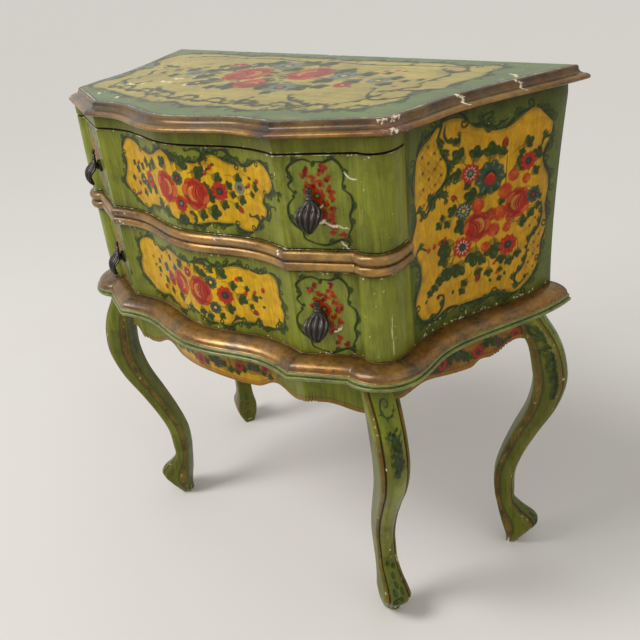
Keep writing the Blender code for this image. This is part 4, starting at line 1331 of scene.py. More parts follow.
class LegPainting:
    """The decoration of a leg: across its outer face, and up from the floor."""

    def __init__(self) -> None:
        """Paints the grounds, the leaves of the knee, the scroll above them and the foot."""
        self.canvas = Canvas((-60, -2), (60, 460), Pigment.OLIVE)
        canvas = self.canvas
        canvas.panel((-60, -2), (60, 340), Pigment.UMBER, 0.34)
        canvas.panel((-60, -2), (60, 128), Pigment.FOREST, 0.16)
        for z in range(20, 460, 24):
            shade = Pigment.MEADOW if 120 < z < 330 else Pigment.MOSS
            canvas.dab((canvas.rng.uniform(-8, 8), z), (60, 22), 90, shade, 0, 0.3)
        self.leafage()
        for x, z in ((-5, 394), (5, 392), (0, 388)):
            canvas.dab((x, z), (6, 5.5), 0, Pigment.INK)
            canvas.dab((x + 1, z + 1), (1.6, 1.4), 0, Pigment.SEA)
        spiral = [(-11, 424), (-7, 415), (0, 410), (7, 414), (9, 424), (5, 433), (-1, 432), (-2, 425), (3, 423)]
        canvas.stroke(spiral, 2.2, Pigment.INK, (0.3, 1.2, 0.8, 0.5))
        for x, z, turn in ((-9, 417, 200), (-5, 411, 235), (3, 408, 275), (10, 416, 340)):
            canvas.dab((x, z), (7, 2.6), turn, Pigment.FOREST, 0.5)
        canvas.scroll([(-10, 34), (0, 26), (11, 34), (10, 50), (0, 54)], 1.8, (-5, 6), 2, Pigment.INK)
        for x, z in ((-6, 60), (0, 68), (6, 60), (0, 78), (-4, 90), (4, 96)):
            canvas.leaf((x, z), 9, 90)
        canvas.age((14.0, 150.0), 0.40)
        canvas.chips((-24, 2), (24, 450), 20, 1.2)
        canvas.chips((-20, 0), (20, 24), 14, 2.0)

    def leafage(self) -> None:
        """Dark leaves in a point over the knee, and on the cheeks of the legs that show them."""
        canvas = self.canvas
        shades = (Pigment.FOREST, Pigment.INK, Pigment.TEAL)
        for _ in range(90):
            z = canvas.rng.uniform(322, 388)
            x = canvas.rng.normal(0, 3.0 + (z - 322) / 20)
            shade = canvas.pick(*shades)
            canvas.dab((x, z), (8, 4.5), canvas.rng.uniform(20, 160), shade, 0.4, 0.8)
        for _ in range(14):
            canvas.leaf(canvas.somewhere((-9, 334), (9, 384)), 6, canvas.rng.uniform(30, 150))
        for side in (-1, 1):
            for count in range(150):
                z = canvas.rng.uniform(306, 434)
                x = side * (29 + (4 + (z - 306) / 6) * canvas.rng.random() ** 1.4)
                canvas.dab((x, z), (8.5, 4.8), canvas.rng.uniform(20, 160), shades[count % 3], 0.4, 0.85)


class Graph:
    """A node tree while it is wired."""

    def __init__(self, tree: bpy.types.NodeTree) -> None:
        """Keeps the tree."""
        self.tree = tree

    def feed(self, node: bpy.types.Node, inputs: dict) -> None:
        """Sets or wires a node's inputs.

        Args:
            node: The node.
            inputs: Values or sockets for its inputs, by name or place.
        """
        for key, value in inputs.items():
            if isinstance(value, bpy.types.NodeSocket):
                self.tree.links.new(value, node.inputs[key])
            else:
                node.inputs[key].default_value = value

    def add(self, kind: str, inputs: dict | None = None, **settings: object) -> bpy.types.Node:
        """Adds a node.

        Args:
            kind: Its type, without the leading ShaderNode.
            inputs: Values or sockets for its inputs, by name or place.
            **settings: Its own properties.

        Returns:
            The node.
        """
        node = self.tree.nodes.new(f"ShaderNode{kind}")
        for key, value in settings.items():
            setattr(node, key, value)
        self.feed(node, inputs or {})
        return node

    def place(self, effect: bpy.types.NodeTree, inputs: dict | None = None) -> bpy.types.bpy_prop_collection:
        """Places a shared effect and gives its outputs."""
        return self.add("Group", inputs, node_tree=effect).outputs

    def math(self, operation: str, first: object, second: object = 0.0) -> bpy.types.NodeSocket:
        """One step of arithmetic, its result held between 0 and 1."""
        return self.add("Math", {0: first, 1: second}, operation=operation, use_clamp=True).outputs[0]

    def times(self, first: object, second: object) -> bpy.types.NodeSocket:
        """One value times another, held between 0 and 1."""
        return self.math("MULTIPLY", first, second)

    def span(
        self, value: object, low: float, high: float, start: float = 0.0, stop: float = 1.0
    ) -> bpy.types.NodeSocket:
        """A value from low to high spread over start to stop."""
        inputs = {"Value": value, "From Min": low, "From Max": high, "To Min": start, "To Max": stop}
        return self.add("MapRange", inputs).outputs["Result"]

    def mix(self, share: object, first: object, second: object, way: str = "MIX") -> bpy.types.NodeSocket:
        """Two colours mixed.

        Args:
            share: How much of the second.
            first: A colour.
            second: Another colour.
            way: How they are blended.

        Returns:
            The mixed colour.
        """
        node = self.add("Mix", data_type="RGBA", blend_type=way)
        self.feed(node, {0: share, 6: first, 7: second})
        return node.outputs[2]

    def toned(self, colour: object, tone: object) -> bpy.types.NodeSocket:
        """A colour made darker or lighter by a tone."""
        grey = self.add("CombineColor", {0: tone, 1: tone, 2: tone}).outputs[0]
        return self.mix(1.0, colour, grey, "MULTIPLY")

    def noise(
        self, vector: object, scale: object, detail: float = 4.0, roughness: float = 0.55
    ) -> bpy.types.NodeSocket:
        """Fractal noise."""
        inputs = {"Vector": vector, "Scale": scale, "Detail": detail, "Roughness": roughness}
        return self.add("TexNoise", inputs).outputs["Fac"]

    def stretched(self, scale: object) -> bpy.types.NodeSocket:
        """Places on the piece, stretched by a vector."""
        place = self.add("TexCoord").outputs["Object"]
        return self.add("Mapping", {"Vector": place, "Scale": scale}).outputs[0]


class Effects:
    """The effects that several finishes share, each a node group that is built once."""

    def __init__(self) -> None:
        """Builds every group."""
        self.brushwork = self.build_brushwork()
        self.losses = self.build_losses()
        self.grime = self.build_grime()

    @staticmethod
    def start(
        name: str, inputs: Sequence[tuple[str, str, object]], outputs: Sequence[str]
    ) -> tuple[Graph, bpy.types.bpy_prop_collection]:
        """A new group with its sockets.

        Args:
            name: The group's name.
            inputs: Name, socket type and default of each input.
            outputs: Names of the outputs, all plain values.

        Returns:
            The graph, and the inputs as sockets to wire from.
        """
        tree = bpy.data.node_groups.new(name, "ShaderNodeTree")
        for label, kind, value in inputs:
            socket = tree.interface.new_socket(label, in_out="INPUT", socket_type=f"NodeSocket{kind}")
            socket.default_value = value
        for label in outputs:
            tree.interface.new_socket(label, in_out="OUTPUT", socket_type="NodeSocketFloat")
        return Graph(tree), tree.nodes.new("NodeGroupInput").outputs

    @staticmethod
    def close(graph: Graph, results: dict[str, bpy.types.NodeSocket]) -> bpy.types.NodeTree:
        """Wires a group's results to its output."""
        graph.feed(graph.tree.nodes.new("NodeGroupOutput"), results)
        return graph.tree

    def build_brushwork(self) -> bpy.types.NodeTree:
        """Long strokes of a stiff brush, with broad changes of tone.

        Returns:
            The node group.
        """
        sockets = (("Along", "Vector", (90.0, 90.0, 9.0)), ("Tone", "Float", 9.0))
        graph, given = self.start("brushwork", sockets, ("Streak", "Tone", "Height"))
        place = graph.stretched(given["Along"])
        streak = graph.noise(place, 1.0, 5.0, 0.62)
        fine = graph.noise(place, 4.0, 3.0, 0.6)
        tone = graph.noise(graph.stretched((1, 1, 1)), given["Tone"], 3.0)
        both = graph.math("ADD", graph.times(streak, 0.6), graph.times(fine, 0.4))
        results = {"Streak": graph.span(both, 0.32, 0.68), "Tone": graph.span(tone, 0.3, 0.7), "Height": both}
        return self.close(graph, results)

    def build_losses(self) -> bpy.types.NodeTree:
        """Where paint or gilding has gone: rubbed edges and small chips.

        Returns:
            The node group.
        """
        sockets = [(name, "Float", value) for name, value in
                   (("Wear", 0.0), ("Cover", 1.0), ("Amount", 0.5), ("Scale", 160.0))]  # fmt: skip
        graph, given = self.start("losses", sockets, ("Bare", "Rubbed"))
        place = graph.stretched((1, 1, 1))
        grain = graph.noise(place, given["Scale"], 6.0, 0.68)
        broad = graph.noise(place, 28.0, 3.0, 0.6)
        wear = graph.times(given["Wear"], given["Amount"])
        edge = graph.math("ADD", graph.times(wear, 0.62), graph.times(grain, 0.62))
        edge = graph.math("ADD", edge, graph.span(broad, 0.3, 0.7, -0.12, 0.12))
        gone = graph.span(edge, 0.60, 0.64)
        speck = graph.span(graph.noise(place, 310.0, 2.0, 0.5), 0.765, 0.79)
        lost = graph.math("SUBTRACT", 1.0, given["Cover"])
        bare = graph.math("MAXIMUM", graph.math("MAXIMUM", gone, speck), lost)
        return self.close(graph, {"Bare": bare, "Rubbed": graph.span(edge, 0.46, 0.60)})

    def build_grime(self) -> bpy.types.NodeTree:
        """Dirt held in old varnish, and its finest crackle.

        Returns:
            The node group.
        """
        graph, given = self.start("grime", (("Scale", "Float", 26.0),), ("Dirt", "Crackle"))
        place = graph.stretched((1, 1, 1))
        dirt = graph.span(graph.noise(place, given["Scale"], 7.0, 0.7), 0.50, 0.74)
        shift = graph.add("CombineXYZ", {0: graph.noise(place, 60.0, 3.0)}).outputs[0]
        bent = graph.add("VectorMath", {0: place, 1: shift}, operation="ADD").outputs[0]
        cells = graph.add("TexVoronoi", {"Vector": bent, "Scale": 190.0}, feature="DISTANCE_TO_EDGE")
        crackle = graph.span(cells.outputs["Distance"], 0.0, 0.05, 1.0, 0.0)
        return self.close(graph, {"Dirt": dirt, "Crackle": crackle})


@dataclass(frozen=True)
class Finish:
    """A finish as the maker or the years left it.

    Attributes:
        name: The material's name.
        roughness: Its roughness where the brush left it smooth.
        rough_by: How far brush marks take the roughness down and up.
        bump: The strength of its relief.
        depth: The height of its relief.
    """

    name: str
    roughness: float = 0.32
    rough_by: tuple[float, float] = (0.06, 0.10)
    bump: float = 0.25
    depth: float = 0.0006

    def material(self, effects: Effects) -> bpy.types.Material:
        """The finish as a material.

        Args:
            effects: The shared effects.

        Returns:
            The material.
        """
        material = bpy.data.materials.new(self.name)
        material.use_nodes = True
        self.wire(Graph(material.node_tree), material.node_tree.nodes["Principled BSDF"], effects)
        return material

    def wire(self, graph: Graph, shader: bpy.types.Node, effects: Effects) -> None:
        """Wires the finish to its shader."""
        raise NotImplementedError

    def matt(self, graph: Graph, streak: bpy.types.NodeSocket) -> bpy.types.NodeSocket:
        """The roughness, uneven with the brush marks."""
        return graph.span(streak, 0.0, 1.0, self.roughness - self.rough_by[0], self.roughness + self.rough_by[1])

    def relief(self, graph: Graph, height: bpy.types.NodeSocket) -> bpy.types.NodeSocket:
        """The normal of the finish's own relief."""
        return graph.add("Bump", {"Height": height, "Strength": self.bump, "Distance": self.depth}).outputs[0]


@dataclass(frozen=True)
class Paint(Finish):
    """Brushed paint under old varnish, its colours taken from the piece's own painting."""

    along: tuple[float, float, float] = (95.0, 95.0, 8.0)
    wear: float = 0.50
    coat: float = 0.17

    def wire(self, graph: Graph, shader: bpy.types.Node, effects: Effects) -> None:
        """Colour, brush marks, dirt and losses.

        Args:
            graph: The material's graph.
            shader: Its shader.
            effects: The shared effects.
        """
        paint = graph.add("VertexColor", layer_name="paint").outputs
        wear = graph.add("Attribute", attribute_name="wear").outputs["Fac"]
        brush = graph.place(effects.brushwork, {"Along": self.along})
        losses = graph.place(effects.losses, {"Wear": wear, "Cover": paint["Alpha"], "Amount": self.wear})
        grime = graph.place(effects.grime)
        bare = losses["Bare"]
        colour = graph.toned(paint["Color"], graph.span(brush["Streak"], 0.0, 1.0, 0.70, 1.16))
        deep = graph.times(graph.span(brush["Tone"], 0.0, 1.0, 0.30, 0.0), 0.8)
        colour = graph.mix(deep, colour, Pigment.MOSS.rgba, "MULTIPLY")
        colour = graph.mix(graph.times(grime["Dirt"], 0.42), colour, Pigment.UMBER.rgba, "MULTIPLY")
        colour = graph.mix(graph.times(grime["Crackle"], 0.20), colour, Pigment.WALNUT.rgba)
        colour = graph.mix(graph.times(losses["Rubbed"], 0.35), colour, Pigment.SEA.rgba)
        colour = graph.mix(bare, colour, Pigment.GESSO.rgba)
        chalky = graph.times(bare, 0.4)
        rough = graph.math("ADD", self.matt(graph, brush["Streak"]), chalky)
        gloss = graph.span(bare, 0.0, 1.0, self.coat, 0.0)
        height = graph.math("SUBTRACT", brush["Height"], graph.times(bare, 0.5))
        graph.feed(shader, {
            "Base Color": colour,
            "Roughness": rough,
            "Specular IOR Level": 0.12,
            "Coat Roughness": 0.14,
            "Coat Weight": gloss,
            "Normal": self.relief(graph, height),
        })  # fmt: skip


@dataclass(frozen=True)
class Gilding(Finish):
    """Gilding rubbed bright on its beads, with a painted highlight of pale brass along their crests, and gone brown in
    its hollows.
    """

    roughness: float = 0.28
    rough_by: tuple[float, float] = (0.05, 0.14)
    depth: float = 0.0018
    wear: float = 0.46
    along: tuple[float, float, float] = (38.0, 38.0, 90.0)

    def wire(self, graph: Graph, shader: bpy.types.Node, effects: Effects) -> None:
        """Colour and metal by wear, with a painted highlight on worn crests and chips down to red clay and white
        ground.

        Args:
            graph: The material's graph.
            shader: Its shader.
            effects: The shared effects.
        """
        paint = graph.add("VertexColor", layer_name="paint").outputs
        wear = graph.add("Attribute", attribute_name="wear").outputs["Fac"]
        metal = graph.add("Attribute", attribute_name="metal").outputs["Fac"]
        brush = graph.place(effects.brushwork, {"Along": self.along, "Tone": 14.0})
        worn = {"Wear": wear, "Cover": paint["Alpha"], "Amount": self.wear, "Scale": 120.0}
        losses = graph.place(effects.losses, worn)
        grime = graph.place(effects.grime, {"Scale": 34.0})
        bare = losses["Bare"]
        colour = graph.toned(paint["Color"], graph.span(brush["Streak"], 0.0, 1.0, 0.46, 1.24))
        rubbed = graph.span(brush["Tone"], 0.25, 0.85, 0.0, 0.75)
        # Pale brass on worn crests: rubbed gilding and a painted highlight.
        colour = graph.mix(graph.times(graph.times(wear, metal), rubbed), colour, Pigment.BRASS_RUB_AND_HIGHLIGHT.rgba)
        dirt = graph.times(grime["Dirt"], 0.65)
        colour = graph.mix(dirt, colour, Pigment.WALNUT.rgba)
        colour = graph.mix(graph.times(losses["Rubbed"], 0.25), colour, Pigment.BOLE.rgba)
        colour = graph.mix(bare, colour, Pigment.GESSO.rgba)
        kept = graph.math("SUBTRACT", 1.0, graph.math("MAXIMUM", bare, dirt))
        bright = graph.times(graph.times(metal, kept), 0.62)
        rough = graph.math("ADD", self.matt(graph, brush["Streak"]), graph.times(bare, 0.35))
        height = graph.math("SUBTRACT", brush["Height"], graph.times(bare, 0.6))
        graph.feed(shader, {
            "Base Color": colour,
            "Metallic": bright,
            "Roughness": rough,
            "Coat Weight": 0.24,
            "Coat Roughness": 0.12,
            "Normal": self.relief(graph, height),
        })  # fmt: skip


@dataclass(frozen=True)
class Wood(Finish):
    """Unpainted softwood, its grain along one axis."""

    roughness: float = 0.66
    rough_by: tuple[float, float] = (0.08, 0.10)
    along: tuple[float, float, float] = (9.0, 120.0, 120.0)
    early: tuple[int, int, int] = (176, 134, 88)
    late: tuple[int, int, int] = (116, 78, 44)

    def wire(self, graph: Graph, shader: bpy.types.Node, effects: Effects) -> None:
        """Grain, dirt and a soft sheen.

        Args:
            graph: The material's graph.
            shader: Its shader.
            effects: The shared effects.
        """
        brush = graph.place(effects.brushwork, {"Along": self.along, "Tone": 6.0})
        grime = graph.place(effects.grime, {"Scale": 12.0})
        colour = graph.mix(brush["Streak"], rgba(self.late), rgba(self.early))
        graph.feed(shader, {
            "Base Color": graph.mix(graph.times(grime["Dirt"], 0.5), colour, Pigment.WALNUT.rgba),
            "Roughness": self.matt(graph, brush["Streak"]),
            "Normal": self.relief(graph, brush["Height"]),
        })  # fmt: skip


@dataclass(frozen=True)
class Bronze(Finish):
    """Cast metal gone nearly black, rubbed paler where fingers reach."""

    roughness: float = 0.30
    rough_by: tuple[float, float] = (0.06, 0.16)
    depth: float = 0.0005
    rubbed: tuple[int, int, int] = (104, 98, 90)
    dark: tuple[int, int, int] = (36, 31, 27)

    def wire(self, graph: Graph, shader: bpy.types.Node, effects: Effects) -> None:
        """Dark skin, rubbed ridges and a cast surface.

        Args:
            graph: The material's graph.
            shader: Its shader.
            effects: The shared effects.
        """
        wear = graph.add("Attribute", attribute_name="wear").outputs["Fac"]
        brush = graph.place(effects.brushwork, {"Along": (160.0, 160.0, 160.0), "Tone": 60.0})
        grime = graph.place(effects.grime, {"Scale": 120.0})
        shine = graph.times(wear, graph.span(brush["Tone"], 0.0, 1.0, 0.3, 0.9))
        colour = graph.mix(shine, rgba(self.dark), rgba(self.rubbed))
        graph.feed(shader, {
            "Base Color": graph.mix(graph.times(grime["Dirt"], 0.5), colour, Pigment.WALNUT.rgba, "MULTIPLY"),
            "Roughness": self.matt(graph, brush["Streak"]),
            "Metallic": 0.8,
            "Normal": self.relief(graph, brush["Height"]),
        })  # fmt: skip


@dataclass(frozen=True)
class Backdrop(Finish):
    """The plain pale floor."""

    roughness: float = 0.8
    tone: tuple[int, int, int] = (214, 211, 206)

    def wire(self, graph: Graph, shader: bpy.types.Node, effects: Effects) -> None:
        """A nearly even pale colour.

        Args:
            graph: The material's graph.
            shader: Its shader.
            effects: The shared effects.
        """
        faint = graph.times(graph.place(effects.grime, {"Scale": 2.0})["Dirt"], 0.03)
        graph.feed(shader, {
            "Base Color": graph.mix(faint, rgba(self.tone), Pigment.STRAW.rgba),
            "Roughness": self.roughness,
            "Specular IOR Level": 0.2,
        })  # fmt: skip


@dataclass
class Workshop:
    """What every sub-assembly needs: the finishes as materials, and the paintings."""

    effects: Effects = field(default_factory=Effects)
    made: dict[Finish, bpy.types.Material] = field(default_factory=dict)
    front: FrontPainting = field(default_factory=FrontPainting)
    side: SidePainting = field(default_factory=SidePainting)
    top: TopPainting = field(default_factory=TopPainting)
    leg: LegPainting = field(default_factory=LegPainting)

    def finish(self, finish: Finish) -> bpy.types.Material:
        """The material of a finish, made once.

        Args:
            finish: The finish.

        Returns:
            Its material.
        """
        if finish not in self.made:
            self.made[finish] = finish.material(self.effects)
        return self.made[finish]


GREEN = Paint("olive_paint")
PANEL = Paint("panel_paint", along=(60.0, 60.0, 20.0), wear=0.45)
TOP = Paint("top_paint", roughness=0.30, along=(12.0, 90.0, 60.0), wear=0.55)
GILT = Gilding("old_gilding")
BARE = Wood("bare_softwood")
UPRIGHT = Wood("bare_softwood_upright", along=(120.0, 120.0, 9.0))
DEEP = Wood("bare_softwood_deep", along=(120.0, 9.0, 120.0))
# Old dark wood on the ends of the rails and drawer fronts, darkened further as painted shade so the gaps between them
# read dark.
DARK_EDGE_WOOD_AND_SHADE = Wood("edge_wood_and_painted_shade", early=(82, 62, 41), late=(48, 36, 24))
CAST = Bronze("dark_bronze")
IRON = Bronze("plain_iron", roughness=0.45, rubbed=(110, 100, 90), dark=(64, 56, 50))


def ring_faces(count: int, around: int) -> np.ndarray:
    """The four-sided faces between rings.

    Args:
        count: How many rings.
        around: How many points each has.

    Returns:
        Places in a flat list of the points, by ring, face and corner.
    """
    index = np.arange(count * around).reshape(count, around)
    low, high = index[:-1], index[1:]
    return np.stack([low, np.roll(low, -1, 1), np.roll(high, -1, 1), high], -1)


@dataclass
class Skin:
    """A closed mesh through rings of equally many points, capped at both ends.

    Attributes:
        name: The piece's name.
        rings: Points by ring and place round it.
        paint: Colour and cover at each point, or None.
        wear: How worn each point is.
        metal: How much of each point is gilt.
        outside: Which places of a ring are finished; the rest show bare wood.
    """

    name: str
    rings: np.ndarray
    paint: np.ndarray | None = None
    wear: np.ndarray | None = None
    metal: np.ndarray | None = None
    outside: np.ndarray | None = None

    def build(self, shop: Workshop, *finishes: Finish, sharp: float = 38.0) -> bpy.types.Object:
        """Makes the piece.

        Args:
            shop: The finishes and paintings.
            *finishes: Its finish, the one of what isn't outside, and the one of its ends.
            sharp: The angle in degrees over which an edge stays sharp.

        Returns:
            The new object.
        """
        materials = [shop.finish(finish) for finish in finishes]
        count, around = self.rings.shape[:2]
        quads = ring_faces(count, around)
        points = self.rings.reshape(-1, 3)
        corners = points[quads.reshape(-1, 4)]
        middle = points.mean(0)
        normal = np.cross(corners[:, 2] - corners[:, 0], corners[:, 3] - corners[:, 1])
        volume = ((corners.mean(1) - middle) * normal).sum()
        low, high = list(range(around))[::-1], list(range((count - 1) * around, count * around))
        flat = quads.reshape(-1, 4)
        if volume < 0:
            flat, low, high = flat[:, ::-1], low[::-1], high[::-1]
        mesh = bpy.data.meshes.new(self.name)
        mesh.from_pydata(points.tolist(), [], flat.tolist() + [low, high])
        for material in materials:
            mesh.materials.append(material)
        if self.outside is not None:
            inner = ~(self.outside & np.roll(self.outside, -1))
            cap = len(materials) - 1
            slots = np.concatenate([np.tile(inner, count - 1).astype(np.int32), [cap, cap]]).astype(np.int32)
            mesh.polygons.foreach_set("material_index", slots)
        mesh.shade_smooth()
        mesh.set_sharp_from_angle(angle=math.radians(sharp))
        dress(mesh, self.paint, self.wear, self.metal)
        return add_object(self.name, mesh)


def dress(
    mesh: bpy.types.Mesh, paint: np.ndarray | None, wear: np.ndarray | None, metal: np.ndarray | None = None
) -> None:
    """Writes a mesh's looks at its points.

    Args:
        mesh: The mesh.
        paint: Colour and cover, or None.
        wear: How worn it is, or None.
        metal: How gilt it is, or None.
    """
    layers = (("paint", "FLOAT_COLOR", paint), ("wear", "FLOAT", wear), ("metal", "FLOAT", metal))
    for name, kind, values in layers:
        if values is not None:
            layer = mesh.attributes.new(name, kind, "POINT")
            field_name = "color" if kind == "FLOAT_COLOR" else "value"
            layer.data.foreach_set(field_name, np.ascontiguousarray(values.reshape(-1), np.float32))


def settle(piece: bpy.types.Object, body: str, slot: str, *nodes: str) -> None:
    """Gives a piece its place in the model and reports it.

    Args:
        piece: The piece.
        body: The body that it rides on.
        slot: Its material slot; not used.
        *nodes: The nodes that it stands for.
    """
    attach(piece, body)
    if nodes:
        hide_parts(*nodes)
    REPORT.info("%s: %d points on %s", piece.name, len(piece.data.vertices), body)


def eased_levels(low: float, high: float, step: float) -> tuple[np.ndarray, np.ndarray]:
    """Heights of a board's rings, with how far each is drawn in at the eased edges.

    Args:
        low: The board's lower face.
        high: The board's upper face.
        step: The spacing between the edges.

    Returns:
        The heights and the offsets, outwards positive.
    """
    edge = np.array((0.0, 0.15, 0.5, 1.0)) * EASED
    drawn = -EASED * np.array((1.0, 0.48, 0.13, 0.0))
    count = max(int((high - low - 2 * EASED) / step), 1)
    middle = np.linspace(low + EASED, high - EASED, count + 1)[1:-1]
    heights = np.concatenate([low + edge, middle, high - edge[::-1]])
    return heights, np.concatenate([drawn, np.zeros(len(middle)), drawn[::-1]])


@dataclass
class Plank:
    """A rail or drawer front: shaped outside, flat inside, wrapped at its ends.

    Attributes:
        name: The piece's name.
        low: The height of its lower face.
        high: The height of its upper face.
        step: The spacing of its rings.
        steps: Steps of its centre, wing, column and side.
        notch: How far along its front the wings begin, in millimetres.
    """

    name: str
    low: float
    high: float
    step: float = 0.00115
    steps: tuple[int, int, int, int] = (168, 104, 56, 22)
    notch: float = 194.0

    def build(self, shop: Workshop, pockets: Sequence[Matrix] = ()) -> bpy.types.Object:
        """Makes the board, painted outside and bare inside.

        Args:
            shop: The finishes and paintings.
            pockets: Frames of the pulls, behind which the inside is bored for their bolts.

        Returns:
            The new object.
        """
        stop_y, fold_at = WRAP_Y - GAP, self.steps[0] + self.steps[1]
        inner_x = BASE_PLAN.side(np.array((WRAP_Y, WRAP_Y)), 0)[0, 0] - WRAP_THICKNESS
        inner = np.array([(inner_x, stop_y), (inner_x, PLANK_Y), (-inner_x, PLANK_Y), (-inner_x, stop_y)])
        rings, paints, wears = [], [], []
        for z, offset in zip(*eased_levels(self.low, self.high, self.step)):
            plan = case_plan(z)
            rings.append(at_height(np.vstack([whole(plan.half(self.steps, stop_y, offset)), inner]), z))
            far = arc_length(plan.half(self.steps, stop_y)) * MM
            along = np.concatenate([-far[:0:-1], far, np.zeros(len(inner))])
            paints.append(shop.front.canvas.sample(along, z * MM))
            away = np.abs(along)
            edge = np.exp(-min(z - self.low, self.high - z) / 0.0012)
            corner = sum(np.exp(-((away - at) ** 2) / 2.5) for at in (self.notch, far[-1]))
            fold = np.exp(-((away - far[fold_at]) ** 2) / 6)
            wears.append(np.clip(edge * 0.9 + corner * 0.55 + fold * 0.3, 0, 1))
        outside = np.arange(len(rings[0])) < len(rings[0]) - len(inner)
        skin = Skin(self.name, np.array(rings), np.array(paints), np.array(wears), outside=outside)
        # Its ends take the dark wood that also serves as painted shade in the gaps.
        piece = skin.build(shop, GREEN, BARE, DARK_EDGE_WOOD_AND_SHADE)
        if pockets:
            bore(piece, pockets)
        return piece


# The radius, start and end of a bolt's pocket and of its hole, measured in from the wing's face
BOLT_BORES = ((0.0065, 0.0203, 0.100), (0.0022, -0.001, 0.0213))


def bore(piece: bpy.types.Object, pulls: Sequence[Matrix]) -> None:
    """Bores the pockets and holes of the pulls' bolts into a drawer front from inside.

    Args:
        piece: The front.
        pulls: Each pull's own frame.
    """
    mesh = bpy.data.meshes.new("bolt_bores")
    cutter = bmesh.new()
    for pull in pulls:
        for radius, start, stop in BOLT_BORES:
            turn = pull @ Matrix.Translation((0, -(start + stop) / 2, 0)) @ Matrix.Rotation(math.pi / 2, 4, "X")
            bmesh.ops.create_cone(
                cutter, cap_ends=True, segments=40, radius1=radius, radius2=radius, depth=stop - start, matrix=turn
            )
    cutter.to_mesh(mesh)
    cutter.free()
    tool = add_object("bolt_bores", mesh)
    modifier = piece.modifiers.new("Bores", "BOOLEAN")
    modifier.operation, modifier.object, modifier.solver = "DIFFERENCE", tool, "EXACT"
    graph = bpy.context.evaluated_depsgraph_get()
    evaluated = piece.evaluated_get(graph)
    result = bpy.data.meshes.new_from_object(evaluated, preserve_all_data_layers=True, depsgraph=graph)
    piece.modifiers.clear()
    piece.data = result
    bpy.data.objects.remove(tool)


@dataclass
class Drawer:
    """One drawer: its painted front, its two pulls and the box behind.

    Attributes:
        level: Which drawer, "lower" or "upper".
        front_z: The height of its front's lower face.
        pull_distance: How far along the wing its pulls hang.
    """

    level: str
    front_z: float
    pull_distance: float

    def pull_frame(self, sign: int) -> Matrix:
        """A pull's own frame, upright on the wing.

        Args:
            sign: 1 on the right and -1 on the left.

        Returns:
            The frame, its y out of the wing and its z up.
        """
        heading = BASE_PLAN.heading
        x = BASE_PLAN.notch_x + self.pull_distance * math.cos(heading)
        y = BACK_Y - BASE_PLAN.notch + self.pull_distance * math.sin(heading)
        out, up = Vector((sign * math.sin(heading), -math.cos(heading), 0)), Vector((0, 0, 1))
        axes = Matrix((out.cross(up), out, up)).transposed().to_4x4()
        return Matrix.Translation((sign * x, y, self.front_z + PULL_RISE)) @ axes

    def build(self, shop: Workshop) -> None:
        """Makes the front and pulls, and finishes the box.

        Args:
            shop: The finishes and paintings.
        """
        body = f"{self.level}_drawer"
        pulls = [self.pull_frame(sign) for sign in (-1, 1)]
        front = Plank(f"{self.level}_painted_front", self.front_z, self.front_z + FRONT_HEIGHT)
        settle(front.build(shop, pulls), body, "green_paint", f"{self.level}_front")
        for hand, matrix in zip(("left", "right"), pulls):
            Pull(f"{self.level}_{hand}", body, matrix).build(shop)
            refinish(shop, IRON, f"{self.level}_{hand}_pull_bolt")
            refinish(shop, DEEP, f"{self.level}_{hand}_drawer_side")
        refinish(shop, BARE, f"{self.level}_drawer_bottom", f"{self.level}_drawer_back")


def refinish(shop: Workshop, finish: Finish, *nodes: str) -> None:
    """Gives carried-over nodes a finish.

    Args:
        shop: The finishes and paintings.
        finish: The finish.
        *nodes: The nodes.
    """
    for name in nodes:
        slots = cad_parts[name].data.materials
        slots.clear()
        slots.append(shop.finish(finish))


